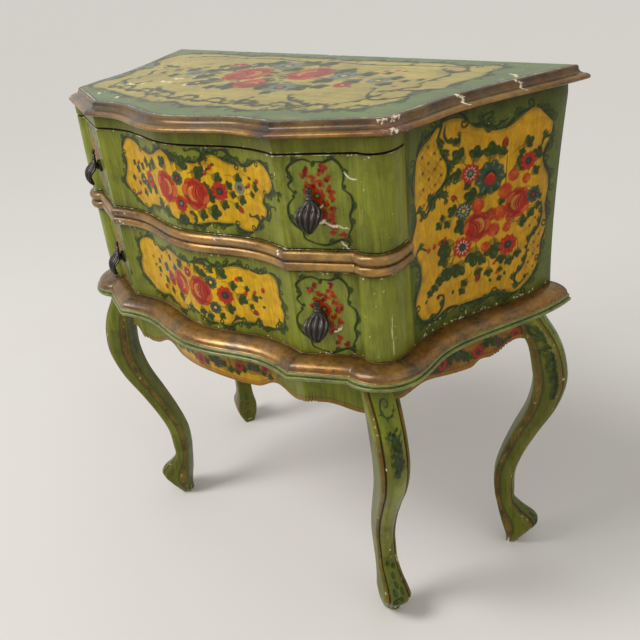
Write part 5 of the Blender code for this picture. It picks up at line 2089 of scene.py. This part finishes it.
@dataclass
class Pull:
    """A cast leaf that hangs from a beaded finial and hooks outwards for the fingers.

    Attributes:
        name: The drawer and side that it is on.
        body: The body that it rides on.
        matrix: Its own frame, y out of the wing and z up.
        height: Its height.
        width: Its width.
        reach: How far it hooks outwards.
        thickness: Its thickness.
        ribs: How many ribs each face of the leaf has.
        swirl: How far the ribs turn down the leaf.
        line: Its middle line, each row a share of reach, height, width and thickness.
        seat: The outline of its rose, each row a radius and a place out of the wing.
    """

    name: str
    body: str
    matrix: Matrix
    height: float = 0.056
    width: float = 0.036
    reach: float = 0.028
    thickness: float = 0.009
    ribs: int = 6
    swirl: float = 5.0
    line: tuple[tuple[float, float, float, float], ...] = (
        (0.24, 0.500, 0.04, 0.20), (0.24, 0.480, 0.20, 0.55), (0.25, 0.440, 0.27, 0.66), (0.26, 0.395, 0.22, 0.56),
        (0.26, 0.370, 0.14, 0.42), (0.27, 0.340, 0.22, 0.52), (0.27, 0.315, 0.30, 0.66), (0.28, 0.290, 0.22, 0.54),
        (0.29, 0.268, 0.26, 0.60), (0.30, 0.245, 0.36, 0.76), (0.31, 0.215, 0.28, 0.68), (0.33, 0.165, 0.42, 0.82),
        (0.37, 0.100, 0.66, 0.95), (0.50, 0.000, 0.94, 1.00), (0.70, -0.090, 1.00, 0.98), (0.82, -0.210, 0.84, 0.90),
        (0.80, -0.330, 0.56, 0.80), (0.72, -0.430, 0.30, 0.62), (0.64, -0.490, 0.12, 0.36), (0.62, -0.500, 0.03, 0.12),
    )  # fmt: skip
    seat: tuple[tuple[float, float], ...] = (
        (0.0004, 0.0085), (0.0040, 0.0082), (0.0052, 0.0070), (0.0060, 0.0050), (0.0088, 0.0042), (0.0100, 0.0030),
        (0.0096, 0.0014), (0.0099, 0.0004),
    )  # fmt: skip

    def build(self, shop: Workshop) -> None:
        """Makes the leaf and its seat.

        Args:
            shop: The finishes and paintings.
        """
        line = curved(self.line, 5)
        angles = np.linspace(0, 2 * np.pi, 56, endpoint=False)
        middles = np.column_stack([np.zeros(len(line)), self.reach * line[:, 0], self.height * line[:, 1]])
        rings, wears = [], []
        for place, run, (_, up, wide, thick) in zip(middles, np.gradient(middles, axis=0), line):
            face = np.array((0, run[2], -run[1]))
            face /= max(np.linalg.norm(face), 1e-9)
            leafy = float(np.clip((0.16 - up) / 0.12, 0, 1))
            ridge = np.cos(angles * self.ribs * 2 + up * self.swirl) * leafy * 0.11
            across = np.cos(angles) * max(wide, 0.02) * self.width / 2 * (1 + ridge * 0.4)
            deep = np.sin(angles) * max(thick, 0.02) * self.thickness / 2 * (1 + ridge * 2.2)
            rings.append(place + across[:, None] * np.array((1, 0, 0)) + deep[:, None] * face)
            wears.append(np.clip(0.35 + ridge * 5 + 0.3 * (1 - leafy) + 0.25 * np.sin(angles), 0, 1))
        skin = Skin(f"{self.name}_pull_leaf", self.placed(rings), wear=np.array(wears))
        settle(skin.build(shop, CAST, sharp=60), self.body, "bronze", f"{self.name}_pull")
        self.build_seat(shop)

    def placed(self, rings: Sequence[np.ndarray]) -> np.ndarray:
        """Rings in the pull's frame, in the chest's frame."""
        matrix = np.array(self.matrix)
        return np.array(rings) @ matrix[:3, :3].T + matrix[:3, 3]

    def build_seat(self, shop: Workshop) -> None:
        """Makes the turned rose between the leaf and the drawer.

        Args:
            shop: The finishes and paintings.
        """
        angles = np.linspace(0, 2 * np.pi, 48, endpoint=False)
        rings = []
        for radius, out in np.vstack([curved(self.seat, 4), (self.seat[0][0], GAP)]):
            level = np.full(len(angles), max(out, GAP))
            rings.append(np.column_stack([radius * np.cos(angles), level, radius * np.sin(angles)]))
        skin = Skin(f"{self.name}_pull_rose", self.placed(rings), wear=np.full((len(rings), len(angles)), 0.4))
        settle(skin.build(shop, CAST, sharp=50), self.body, "bronze")


def arc(centre: tuple[float, float], radii: tuple[float, float], start: float, stop: float, steps: int) -> list:
    """Points of an elliptical arc, its angles in degrees."""
    angles = np.radians(np.linspace(start, stop, steps + 1))
    return [(centre[0] + radii[0] * math.cos(a), centre[1] + radii[1] * math.sin(a)) for a in angles]


class Profile(Enum):
    """Sections of the mouldings, as shares of reach and height."""

    TOP = (
        [(0, 0), (0, 1), (0.09, 1), (0.16, 0.995), (0.19, 0.975), (0.25, 0.93)]
        + arc((0.64, 0.80), (0.38, 0.34), 180, 270, 9)
        + arc((0.66, 0.23), (0.34, 0.23), 75, -90, 16)
    )
    MIDDLE = (
        [(0, 1), (0, 0)]
        + arc((0.25, 0.25), (0.75, 0.24), -90, 75, 14)
        + arc((0.25, 0.75), (0.75, 0.24), -75, 90, 14)
    )
    BASE = (
        [(0, 0), (0, 1)]
        + arc((0.06, 0.50), (0.76, 0.50), 90, 0, 16)
        + arc((0.86, 0.34), (0.07, 0.10), 90, -70, 7)
        + arc((0.92, 0.115), (0.08, 0.115), 80, -90, 8)
    )


@dataclass
class Moulding:
    """A mitred moulding round one of the boards.

    Attributes:
        name: Its name.
        profile: Its section.
        reach: How far it stands out.
        height: Its height.
        low_z: The height of its lower edge.
        plan: The plan that it follows, or None for the case's own at each height.
        wrapped: Whether it ends with the planks, a little way round the corner.
        scars: Where its gilding has gone, in millimetres along it, and how widely.
        cracks: Where it has cracked, in millimetres along it, and how widely.
        steps: Steps of its centre, wing, column and side.
        wrap_steps: Steps of its side where it is wrapped.
    """

    name: str
    profile: Profile
    reach: float
    height: float
    low_z: float
    plan: Plan | None = None
    wrapped: bool = False
    scars: tuple[tuple[float, float], ...] = ()
    cracks: tuple[tuple[float, float], ...] = ()
    steps: tuple[int, int, int, int] = (130, 84, 44, 190)
    wrap_steps: int = 22

    @property
    def counts(self) -> tuple[int, ...]:
        """The steps that it takes."""
        return (*self.steps[:3], self.wrap_steps) if self.wrapped else self.steps

    def runs(self) -> dict[str, tuple[int, int]]:
        """Where each right-hand length lies; the centre's is half of it.

        Returns:
            Its first and last station, by name.
        """
        notch, corner, last = self.counts[0], sum(self.counts[:3]), sum(self.counts)
        if self.wrapped:
            return {"centre": (0, notch), "wing": (notch, last)}
        return {"centre": (0, notch), "wing": (notch, corner), "side": (corner, last)}

    def stations(self, z: float, out: float) -> np.ndarray:
        """The moulding's line from the crest round.

        Args:
            z: The height.
            out: The share of the reach.

        Returns:
            Its points, one row each.
        """
        line = (self.plan or case_plan(z)).half(
            self.counts, WRAP_Y if self.wrapped else BACK_Y, GAP + self.reach * out
        )
        return at_height(line, z)

    def build(self, shop: Workshop) -> None:
        """Makes each length.

        Args:
            shop: The finishes and paintings.
        """
        points = np.stack([self.stations(self.low_z + self.height * up, out) for out, up in self.profile.value], 1)
        far = arc_length(points[:, 3, :2]) * MM
        for run, (first, last) in self.runs().items():
            half, place = points[first : last + 1], far[first : last + 1]
            if run == "centre":
                self.length(shop, run, whole(half), np.concatenate([-place[:0:-1], place]))
                continue
            for hand, sign in (("left", -1), ("right", 1)):
                self.length(shop, f"{hand}_{run}", half * (sign, 1, 1), place * sign)

    def length(self, shop: Workshop, tag: str, rings: np.ndarray, place: np.ndarray) -> None:
        """Makes one length of the moulding, drawn in a little at its mitres.

        Args:
            shop: The finishes and paintings.
            tag: Which length.
            rings: Its points by station and place on the section.
            place: How far along each station lies, in millimetres.
        """
        rings = rings.copy()
        for end, neighbour in ((0, 1), (-1, -2)):
            away = rings[neighbour] - rings[end]
            rings[end] += away / np.maximum(np.linalg.norm(away, axis=1), 1e-9)[:, None] * GAP / 2
        skin = Skin(f"gilt_{self.name}_{tag}", rings, *self.aged(place))
        settle(skin.build(shop, GILT, sharp=50), "case", "gilt", f"{self.name}_{tag}")

    def aged(self, place: np.ndarray) -> tuple[np.ndarray, np.ndarray, np.ndarray]:
        """The gilding of a length, as the years left it.

        Args:
            place: How far along each station lies, in millimetres.

        Returns:
            Colour and cover, wear, and metal, each by station and place on the section.
        """
        out, up = np.array(self.profile.value).T
        bulge = out - np.convolve(np.pad(out, 4, mode="wrap"), np.ones(9) / 9, "valid")
        rub = np.clip(0.35 + bulge * 4.2, 0, 1) * (out > 0.01)
        along = place[:, None]
        blotch = mottle(along + 4000, up * 26, 23, 11) * 0.6 + mottle(along + 4000, up * 90, 6, 12) * 0.4
        ends = np.exp(-np.minimum(np.abs(along - place[0]), np.abs(along - place[-1])) / 9)
        shade = np.clip(blotch * 1.6 - 0.20 + 0.50 * ends - rub * 0.45, 0, 1)
        colour = blend(Pigment.GOLD.light, Pigment.UMBER.light, shade[..., None])
        metal = np.clip(1.1 - shade * 0.8, 0, 1)
        if self.profile is Profile.TOP:
            dark = np.clip((up > 0.42) * 0.55 + (up > 0.9) * 0.2, 0, 0.75)
            tint(colour, Pigment.WALNUT.light, dark)
            metal = metal * (1 - 0.30 * dark)
        hurt = sum(hump(along, at, size) for at, size in self.scars)
        hurt = np.clip(hurt * (0.6 + 0.8 * blotch), 0, 1)
        tint(colour, Pigment.BOLE.light, hurt * 0.7)
        metal = metal * (1 - hurt)
        if self.profile is Profile.BASE:
            green = (up < 0.44) & (out > 0.5)
            tint(colour, Pigment.SEA.light * (0.55 + 0.6 * blotch[..., None]), green)
            # Painted shade in the quirk between the two green beads.
            colour = colour * (1 - hump(up, 0.225, 0.02)[:, None] * 0.6)
            metal = metal * (1 - green)
        wear = np.clip(rub * (0.45 + 0.6 * blotch) + 0.10 * ends + 0.5 * hurt, 0, 1)
        jag = along + 9 * up + 24 * (mottle(up * 60, 0.0, 9, 14) - 0.5)
        ragged = 0.1 + 1.5 * mottle(up * 60, 0.0, 5, 15)
        crack = sum(np.abs(jag - at) < wide * ragged for at, wide in self.cracks) * (up > 0.35)
        cover = 1.0 - np.clip(crack * np.ones(shade.shape), 0, 1)
        return np.dstack([colour, cover]), wear, metal


@dataclass
class TopBoard:
    """The painted top, whose rear corners run out into ears.

    Attributes:
        across: How many fields its face has across.
        deep: How many it has from back to front.
        steps: Steps of its outline's centre, wing, column and side.
    """

    across: int = 400
    deep: int = 190
    steps: tuple[int, int, int, int] = (110, 70, 24, 150)

    def surface(self) -> np.ndarray:
        """Points of the upper face.

        Returns:
            Them by row, from its back edge to its front, and by column from left to right.
        """
        half = TOP_PLAN.half(self.steps, BACK_Y)
        corner = self.steps[0] + self.steps[1] + self.steps[2] // 2
        front, side = whole(half[: corner + 1]), half[corner:]
        u, v = np.linspace(0, 1, self.across + 1), np.linspace(0, 1, self.deep + 1)
        front_far, side_far = arc_length(front), arc_length(side)
        front = np.stack([np.interp(u * front_far[-1], front_far, front[:, k]) for k in (0, 1)], -1)
        right = np.stack([np.interp((1 - v) * side_far[-1], side_far, side[:, k]) for k in (0, 1)], -1)
        left = right * (-1, 1)
        back = left[0] + (right[0] - left[0]) * u[:, None]
        up, vp = u[None, :, None], v[:, None, None]
        rules = back[None] * (1 - vp) + front[None] * vp + left[:, None] * (1 - up) + right[:, None] * up
        corners = (left[0] * (1 - up) + right[0] * up) * (1 - vp) + (left[-1] * (1 - up) + right[-1] * up) * vp
        return rules - corners

    def build(self, shop: Workshop) -> None:
        """Makes the board with its painted face.

        Args:
            shop: The finishes and paintings.
        """
        face = self.surface()
        rows, columns = face.shape[:2]
        index = np.arange(rows * columns).reshape(rows, columns)
        rim = np.concatenate([index[0], index[1:, -1], index[-1, -2::-1], index[-2:0:-1, 0]])
        flat = face.reshape(-1, 2)
        points = np.vstack([at_height(flat, TOP_Z + TOP_THICKNESS), at_height(flat[rim], TOP_Z)])
        quads = np.stack([index[:-1, :-1], index[:-1, 1:], index[1:, 1:], index[1:, :-1]], -1).reshape(-1, 4)
        under = np.arange(len(rim)) + len(flat)
        wall = np.stack([rim, np.roll(rim, -1), np.roll(under, -1), under], -1)
        mesh = bpy.data.meshes.new("painted_top")
        mesh.from_pydata(points.tolist(), [], quads[:, ::-1].tolist() + wall.tolist() + [under.tolist()])
        solid = bmesh.new()
        solid.from_mesh(mesh)
        bmesh.ops.recalc_face_normals(solid, faces=solid.faces)
        solid.to_mesh(mesh)
        solid.free()
        mesh.materials.append(shop.finish(TOP))
        mesh.shade_smooth()
        mesh.set_sharp_from_angle(angle=math.radians(40))
        paint = shop.top.canvas.sample(points[:, 0] * MM, (points[:, 1] - BACK_Y) * MM)
        u, v = np.meshgrid(np.arange(columns), np.arange(rows))
        edge = np.minimum(np.minimum(u, columns - 1 - u), rows - 1 - v).reshape(-1)
        tint(paint[: len(flat)], Pigment.UMBER.light, np.clip(3.5 - edge, 0, 0.85))
        wear = np.zeros(len(points))
        wear[: len(flat)] = np.exp(-np.minimum(edge, v.reshape(-1)) / 1.6)
        dress(mesh, paint, wear)
        settle(add_object("painted_top", mesh), "case", "top_paint", "top_board")


@dataclass
class SidePanel:
    """One hollowed side, which leans outwards towards its upper rear corner.

    Attributes:
        hand: Which side, "left" or "right".
        sign: 1 on the right and -1 on the left.
        step: The spacing of its points.
        front_steps: Steps of the front's centre, wing and column and of the corner before it.
    """

    hand: str
    sign: int
    step: float = 0.00125
    front_steps: tuple[int, int, int, int] = (60, 30, 20, 22)

    def build(self, shop: Workshop) -> None:
        """Makes the panel, painted outside and bare inside.

        Args:
            shop: The finishes and paintings.
        """
        low, high = FLOOR_Z + GAP, TOP_Z - GAP
        depths = np.linspace(WRAP_Y, BACK_Y, int((BACK_Y - WRAP_Y) / self.step))
        rings, paints, wears = [], [], []
        for z in np.linspace(low, high, int((high - low) / self.step)):
            plan = case_plan(z)
            outer = plan.side(depths, 0)
            inner = plan.side(np.linspace(BACK_Y, WRAP_Y, 14), 0) - (SIDE_THICKNESS, 0)
            rings.append(at_height(np.vstack([outer, inner]) * (self.sign, 1), z))
            far = (arc_length(plan.half(self.front_steps, WRAP_Y))[-1] + arc_length(outer)) * MM
            along = np.concatenate([far, np.full(len(inner), far[-1])])
            paints.append(shop.side.canvas.sample(along, z * MM))
            near = np.minimum(along - far[0], far[-1] - along) / MM
            edge = np.exp(-min(z - low, high - z) / 0.0016)
            wears.append(np.clip(edge * 0.85 + np.exp(-near / 0.0012) * 0.6, 0, 1))
        outside = np.arange(len(rings[0])) < len(depths)
        skin = Skin(f"{self.hand}_painted_side", np.array(rings), np.array(paints), np.array(wears), outside=outside)
        settle(skin.build(shop, PANEL, DEEP), "case", "side_paint", f"{self.hand}_side_panel")


@dataclass
class Leg:
    """One cabriole leg, its ribs gilt and its knee and foot painted with leaves.

    Attributes:
        corner: Which corner it stands at.
        foot: Where it stands.
        away: The outward direction of its own plane.
        shares: Its curve, each row a share of the height, of the knee's reach inside and outside, and of the
            knee's width.
        section: Half of its section from the middle of its outer face, as shares of its width and depth.
    """

    corner: str
    foot: Vector
    away: Vector
    shares: tuple[tuple[float, float, float, float], ...] = (
        (0.000, -0.22, 0.04, 0.20), (0.022, -0.20, 0.08, 0.30), (0.055, -0.22, 0.24, 0.40),
        (0.092, -0.27, 0.44, 0.43), (0.121, -0.31, 0.41, 0.39), (0.154, -0.35, 0.20, 0.34),
        (0.198, -0.39, -0.01, 0.31), (0.248, -0.43, -0.02, 0.30), (0.330, -0.42, 0.01, 0.31),
        (0.418, -0.27, 0.19, 0.33), (0.516, -0.03, 0.49, 0.355), (0.615, 0.24, 0.82, 0.40),
        (0.714, 0.36, 1.00, 0.43), (0.802, 0.33, 0.98, 0.44), (0.879, 0.26, 0.855, 0.44),
        (0.945, 0.09, 0.655, 0.46), (1.000, -0.06, 0.465, 0.48),
    )  # fmt: skip
    section: tuple[tuple[float, float], ...] = (
        (0.00, 1.00), (0.22, 0.995), (0.40, 0.975), (0.54, 0.935), (0.63, 0.90), (0.68, 0.84), (0.72, 0.80),
        (0.76, 0.835), (0.82, 0.83), (0.92, 0.79), (1.00, 0.70), (1.00, 0.46), (0.98, 0.24), (0.88, 0.08), (0.72, 0.00),
    )  # fmt: skip

    def build(self, shop: Workshop) -> None:
        """Makes the leg through sections from toe to case.

        Args:
            shop: The finishes and paintings.
        """
        half = np.array(self.section)
        across, deep = curved(np.vstack([half, half[:0:-1] * (-1, 1)]), 4, closed=True).T
        aside, outer_face = np.abs(across), deep > 0.6
        rib = np.maximum(hump(aside, 0.83, 0.12, 4) * outer_face, hump(deep, 0.16, 0.10, 4))
        line = np.maximum(hump(aside, 0.68, 0.035) * outer_face, hump(deep, 0.30, 0.03) * (aside > 0.9))
        foot, away = np.array(self.foot), np.array(self.away)
        sideways = np.cross(away, (0, 0, 1))
        rings, paints, wears = [], [], []
        for height, inner, outer, wide in curved(self.shares, 14):
            z = float(np.clip(height, 0, 1)) * (LEG_HEIGHT - GAP)
            reach = (inner + (outer - inner) * deep) * KNEE_REACH
            shift = across * wide * KNEE_WIDTH
            points = foot + reach[:, None] * away + shift[:, None] * sideways
            points[:, 2] = z
            rings.append(points)
            if self.corner.startswith("rear"):
                shift = shift + np.sign(across) * np.clip(0.80 - deep, 0, 1) * (outer - inner) * KNEE_REACH
            face = shop.leg.canvas.sample(shift * MM, z * MM)
            tint(face, Pigment.MOSS.light, ~outer_face * 0.35)
            aged = 0.25 + 0.75 * mottle(z * MM, 1.0, 14, 21)
            tint(face, blend(Pigment.GOLD.light, Pigment.UMBER.light, aged), rib * 0.9)
            tint(face, Pigment.WALNUT.light, line * 0.75)
            paints.append(face)
            wears.append(np.clip(rib * 0.55 + 0.7 * math.exp(-z / 0.008), 0, 1))
        skin = Skin(f"{self.corner}_painted_leg", np.array(rings), np.array(paints), np.array(wears))
        settle(skin.build(shop, GREEN, sharp=44), "case", "green_paint", f"{self.corner}_leg")


# Each pair of feet: how far they stand aside and from the back, and whether they point forwards or backwards
FEET = (("front", 0.270, 0.3076, -1), ("rear", 0.344, 0.0575, 1))


def leg_corners() -> dict[str, tuple[Vector, Vector]]:
    """Where the legs stand.

    Returns:
        Each leg's foot and the outward direction of its own plane, by corner.
    """
    turn, corners = math.radians(LEG_TURN), {}
    for end, x, depth, back in FEET:
        for hand, sign in (("left", -1), ("right", 1)):
            foot = Vector((sign * x, BACK_Y - depth, 0))
            corners[f"{end}_{hand}"] = (foot, Vector((sign * math.sin(turn), back * math.cos(turn), 0)))
    return corners


@dataclass
class Apron:
    """A shaped apron between two legs, its ends cut at their cheeks.

    Attributes:
        name: The node that it stands for.
        table: Its lower edge, each row a share of the length and one of the drop.
        ends: The legs at its ends, each with the direction from it into the apron.
        side: 1 on the right, -1 on the left and 0 in front.
        steps: Steps of the plan's centre, wing, column and side.
    """

    name: str
    table: tuple[tuple[float, float], ...]
    ends: dict[str, tuple[float, float, float]]
    side: int = 0
    steps: tuple[int, int, int, int] = (150, 90, 26, 230)

    def drop(self, share: np.ndarray) -> np.ndarray:
        """The drop along the apron, eased from each crest to the next hollow.

        Args:
            share: Shares of the length.

        Returns:
            The drop at each.
        """
        places, drops = np.array(self.table).T
        index = np.clip(np.searchsorted(places, share, side="left") - 1, 0, len(places) - 2)
        within = np.clip((share - places[index]) / (places[index + 1] - places[index]), 0, 1)
        return APRON_DROP * blend(drops[index], drops[index + 1], ease(within))

    def stations(self, offset: float) -> np.ndarray:
        """The apron's line.

        Args:
            offset: How far outside the plan.

        Returns:
            Its points, one row each.
        """
        half, crease = BASE_PLAN.half(self.steps, BACK_Y, offset), sum(self.steps[:2])
        return half[crease:] * (self.side, 1) if self.side else whole(half[: crease + 1])

    def measured(self) -> tuple[np.ndarray, np.ndarray]:
        """Where each station lies.

        Returns:
            Its share of the length, and its place on the painting in millimetres.
        """
        plan = self.stations(0)
        if not self.side:
            far = arc_length(plan) * MM
            return np.abs(plan[:, 0]) / np.abs(plan[:, 0]).max(), far - far[len(far) // 2]
        start = BASE_PLAN.column_centre[1]
        share = np.clip((plan[:, 1] - start) / (BACK_Y - start), 0, 1)
        before = arc_length(BASE_PLAN.half((*self.steps[:3], 2), BACK_Y))[sum(self.steps[:2])]
        return share, (before + arc_length(plan)) * MM

    def build(self, shop: Workshop) -> None:
        """Makes the apron and cuts its ends.

        Args:
            shop: The finishes and paintings.
        """
        outer, inner = self.stations(APRON_PROUD), self.stations(APRON_PROUD - APRON_THICKNESS)
        share, far = self.measured()
        away, scallop = np.abs(far), np.abs(np.sin(far * 0.62))
        carved = np.clip(3 - 3 * np.abs(away - (545 if self.side else 196)) / 18, 0, 1)
        drop = self.drop(share) - 0.0036 * scallop * carved
        top = LEG_HEIGHT - GAP
        canvas = (shop.side if self.side else shop.front).canvas
        columns, paints, wears = [], [], []
        for t in np.linspace(0, 1, 36):
            z = top - drop * t
            columns.append(at_height(outer, z))
            paint = canvas.sample(far, z * MM)
            if not self.side:
                tint(paint, Pigment.OLIVE.light, np.clip((away - 168) / 8, 0, 1))
            near = (1 - t) * drop * MM
            tint(paint, Pigment.GOLD.light * 1.1, np.clip(2.2 - near / 3.2, 0, 1) * 0.9)
            tint(paint, Pigment.UMBER.light, hump(near, 7.5, 1.0) * 0.7)
            # Painted shade in the deepest cuts of the carved nicks along the lower edge.
            tint(paint, Pigment.WALNUT.light, (scallop > 0.86) * carved * np.clip(2 - near / 9, 0, 1) * 0.6)
            paints.append(paint)
            wears.append(np.clip(np.exp(-near / 1.5) * 0.7, 0, 1))
        under = paints[-1] * 0.7 + 0.3
        for line, z in ((outer * 0.6 + inner * 0.4, top - drop - 0.0002), (inner, top - drop), (inner, top)):
            columns.append(at_height(line, z))
            paints.append(under)
            wears.append(np.zeros(len(far)))
        rings = np.stack(columns, 1)
        outside = np.arange(rings.shape[1]) < rings.shape[1] - 2
        skin = Skin(f"painted_{self.name}", rings, np.stack(paints, 1), np.stack(wears, 1), outside=outside)
        piece = skin.build(shop, PANEL if self.side else GREEN, BARE, sharp=44)
        for corner, toward in self.ends.items():
            cut_end(piece, *leg_corners()[corner], Vector(toward))
        settle(piece, "case", "apron_paint", self.name)


def cut_end(piece: bpy.types.Object, foot: Vector, away: Vector, toward: Vector) -> None:
    """Ends an apron at a leg's cheek and closes the cut.

    Args:
        piece: The apron.
        foot: Where the leg stands.
        away: The outward direction of the leg's own plane.
        toward: The direction from the leg into the apron.
    """
    across = away.cross(Vector((0, 0, 1)))
    if across.dot(toward) < 0:
        across = -across
    solid = bmesh.new()
    solid.from_mesh(piece.data)
    geometry = solid.verts[:] + solid.edges[:] + solid.faces[:]
    cheek = foot + across * KNEE_WIDTH * CHEEK_SHARE
    cut = bmesh.ops.bisect_plane(solid, geom=geometry, plane_co=cheek, plane_no=across, clear_inner=True)
    edges = [item for item in cut["geom_cut"] if isinstance(item, bmesh.types.BMEdge)]
    bmesh.ops.contextual_create(solid, geom=edges)
    bmesh.ops.recalc_face_normals(solid, faces=solid.faces)
    solid.to_mesh(piece.data)
    solid.free()


class Case:
    """The fixed case: legs, aprons, rails, sides, top and what shows inside."""

    FRONT_APRON = ((0.00, 0.87), (0.315, 0.98), (0.463, 0.76), (0.60, 0.95), (0.80, 0.82), (1.00, 1.03))
    SIDE_APRON = ((0.00, 0.50), (0.477, 0.95), (0.537, 0.82), (0.607, 0.87), (0.727, 0.64), (0.90, 0.98), (1.00, 1.00))

    def build(self, shop: Workshop) -> None:
        """Makes the case from its legs up.

        Args:
            shop: The finishes and paintings.
        """
        for corner, (foot, away) in leg_corners().items():
            Leg(corner, foot, away).build(shop)
        ends = {"front_left": (1, 0, 0), "front_right": (-1, 0, 0)}
        Apron("apron_front", self.FRONT_APRON, ends).build(shop)
        for hand, sign in (("left", -1), ("right", 1)):
            ends = {f"front_{hand}": (0, 1, 0), f"rear_{hand}": (0, -1, 0)}
            Apron(f"apron_{hand}", self.SIDE_APRON, ends, sign).build(shop)
            SidePanel(hand, sign).build(shop)
        for name, low, height in (
            ("middle_rail", MIDDLE_RAIL_Z, MIDDLE_RAIL_HEIGHT),
            ("top_rail", TOP_RAIL_Z, TOP_RAIL_HEIGHT - GAP),
        ):
            settle(Plank(f"painted_{name}", low, low + height, step=0.0016).build(shop), "case", "green_paint", name)
        TopBoard().build(shop)
        corners = [f"{end}_{hand}_corner_block" for end in ("front", "rear") for hand in ("left", "right")]
        runners = [f"{level}_{hand}_runner" for level in ("lower", "upper") for hand in ("left", "right")]
        refinish(shop, BARE, "base_board", "apron_back", "back_panel")
        refinish(shop, UPRIGHT, *corners)
        refinish(shop, DEEP, *runners)


class Studio:
    """A pale floor, soft light and the camera."""

    CAMERA_PLACE = (0.934, -0.83185, 1.0429)
    RIGHT = (0.73487, 0.66774, -0.11873)
    UP = (-0.23135, 0.41137, 0.88162)
    BACK = (0.63753, -0.62040, 0.45679)
    LENS = 46.93
    SENSOR_WIDTH = 36
    FLOOR_REACH = 30.0
    WALL = (222, 220, 216)

    def build(self, shop: Workshop) -> None:
        """Sets up everything round the chest.

        Args:
            shop: The finishes and paintings.
        """
        self.camera()
        self.floor(shop)
        self.sun("daylight", (-0.55, -0.80, 1.35), 22, 1.15)
        self.sun("room", (1.0, -0.35, 0.9), 60, 0.35)
        self.lamp("window", (-1.3, -1.9, 2.2), 1.0, 26)
        self.sky()
        bpy.context.scene.view_settings.view_transform = "Standard"

    def camera(self) -> None:
        """The camera at the photograph's viewing angle."""
        data = bpy.data.cameras.new("view")
        data.lens, data.sensor_width = self.LENS, self.SENSOR_WIDTH
        camera = add_object("view", data)
        matrix = Matrix((self.RIGHT, self.UP, self.BACK)).transposed().to_4x4()
        matrix.translation = self.CAMERA_PLACE
        camera.matrix_world = matrix
        bpy.context.scene.camera = camera

    def floor(self, shop: Workshop) -> None:
        """A wide pale floor.

        Args:
            shop: The finishes and paintings.
        """
        reach = self.FLOOR_REACH
        mesh = bpy.data.meshes.new("floor")
        corners = ((-reach, -reach, 0), (reach, -reach, 0), (reach, reach, 0), (-reach, reach, 0))
        mesh.from_pydata(corners, [], [(0, 1, 2, 3)])
        mesh.materials.append(shop.finish(Backdrop("pale_floor")))
        floor = add_object("floor", mesh)

    def sun(self, name: str, toward: tuple[float, float, float], angle: float, strength: float) -> None:
        """Even light from one side of the room.

        Args:
            name: The light's name.
            toward: Where it comes from.
            angle: How wide it looks, in degrees; a wide one casts soft shadows.
            strength: Its strength.
        """
        data = bpy.data.lights.new(name, "SUN")
        data.energy, data.angle = strength, math.radians(angle)
        light = add_object(name, data)
        light.rotation_euler = Vector(toward).to_track_quat("Z", "Y").to_euler()

    def lamp(self, name: str, place: tuple[float, float, float], size: float, power: float) -> None:
        """A broad soft lamp that faces the chest.

        Args:
            name: The lamp's name.
            place: Where it stands.
            size: Its width.
            power: Its power in watts.
        """
        data = bpy.data.lights.new(name, "AREA")
        data.energy, data.size = power, size
        lamp = add_object(name, data)
        lamp.location = place
        lamp.rotation_euler = (Vector((0, 0, 0.5)) - Vector(place)).to_track_quat("-Z", "Y").to_euler()

    def sky(self) -> None:
        """Even light from all round, seen as a plain pale wall."""
        world = bpy.data.worlds.new("studio")
        bpy.context.scene.world = world
        world.use_nodes = True
        graph = Graph(world.node_tree)
        graph.tree.nodes.clear()
        path = graph.add("LightPath").outputs
        seen = graph.add("Background", {"Color": rgba(self.WALL), "Strength": 1.0}).outputs[0]
        even = graph.add("Background", {"Color": (1.0, 0.99, 0.97, 1.0), "Strength": 0.58}).outputs[0]
        direct = graph.math("MAXIMUM", path["Is Camera Ray"], path["Is Glossy Ray"])
        mixed = graph.add("MixShader", {0: direct, 1: even, 2: seen}).outputs[0]
        graph.add("OutputWorld", {"Surface": mixed})


def main() -> None:
    """Builds the chest's looks, piece by piece."""
    logging.basicConfig(level=logging.INFO, format="%(name)s %(message)s")
    shop = Workshop()
    Case().build(shop)
    Drawer("lower", LOWER_FRONT_Z, 0.036).build(shop)
    Drawer("upper", UPPER_FRONT_Z, 0.045).build(shop)
    Moulding("base_moulding", Profile.BASE, 0.034, BASE_HEIGHT, LEG_HEIGHT, plan=BASE_PLAN).build(shop)
    Moulding("middle_moulding", Profile.MIDDLE, 0.008, 0.029, MIDDLE_RAIL_Z + 0.0005, wrapped=True).build(shop)
    Moulding(
        "top_moulding", Profile.TOP, 0.022, TOP_THICKNESS, TOP_Z, plan=TOP_PLAN,
        scars=((338, 16), (352, 8), (-332, 9), (205, 5)), cracks=((470, 2.2), (560, 1.2), (-420, 1.2)),
    ).build(shop)  # fmt: skip
    Studio().build(shop)


if __name__ == "__main__":
    main()
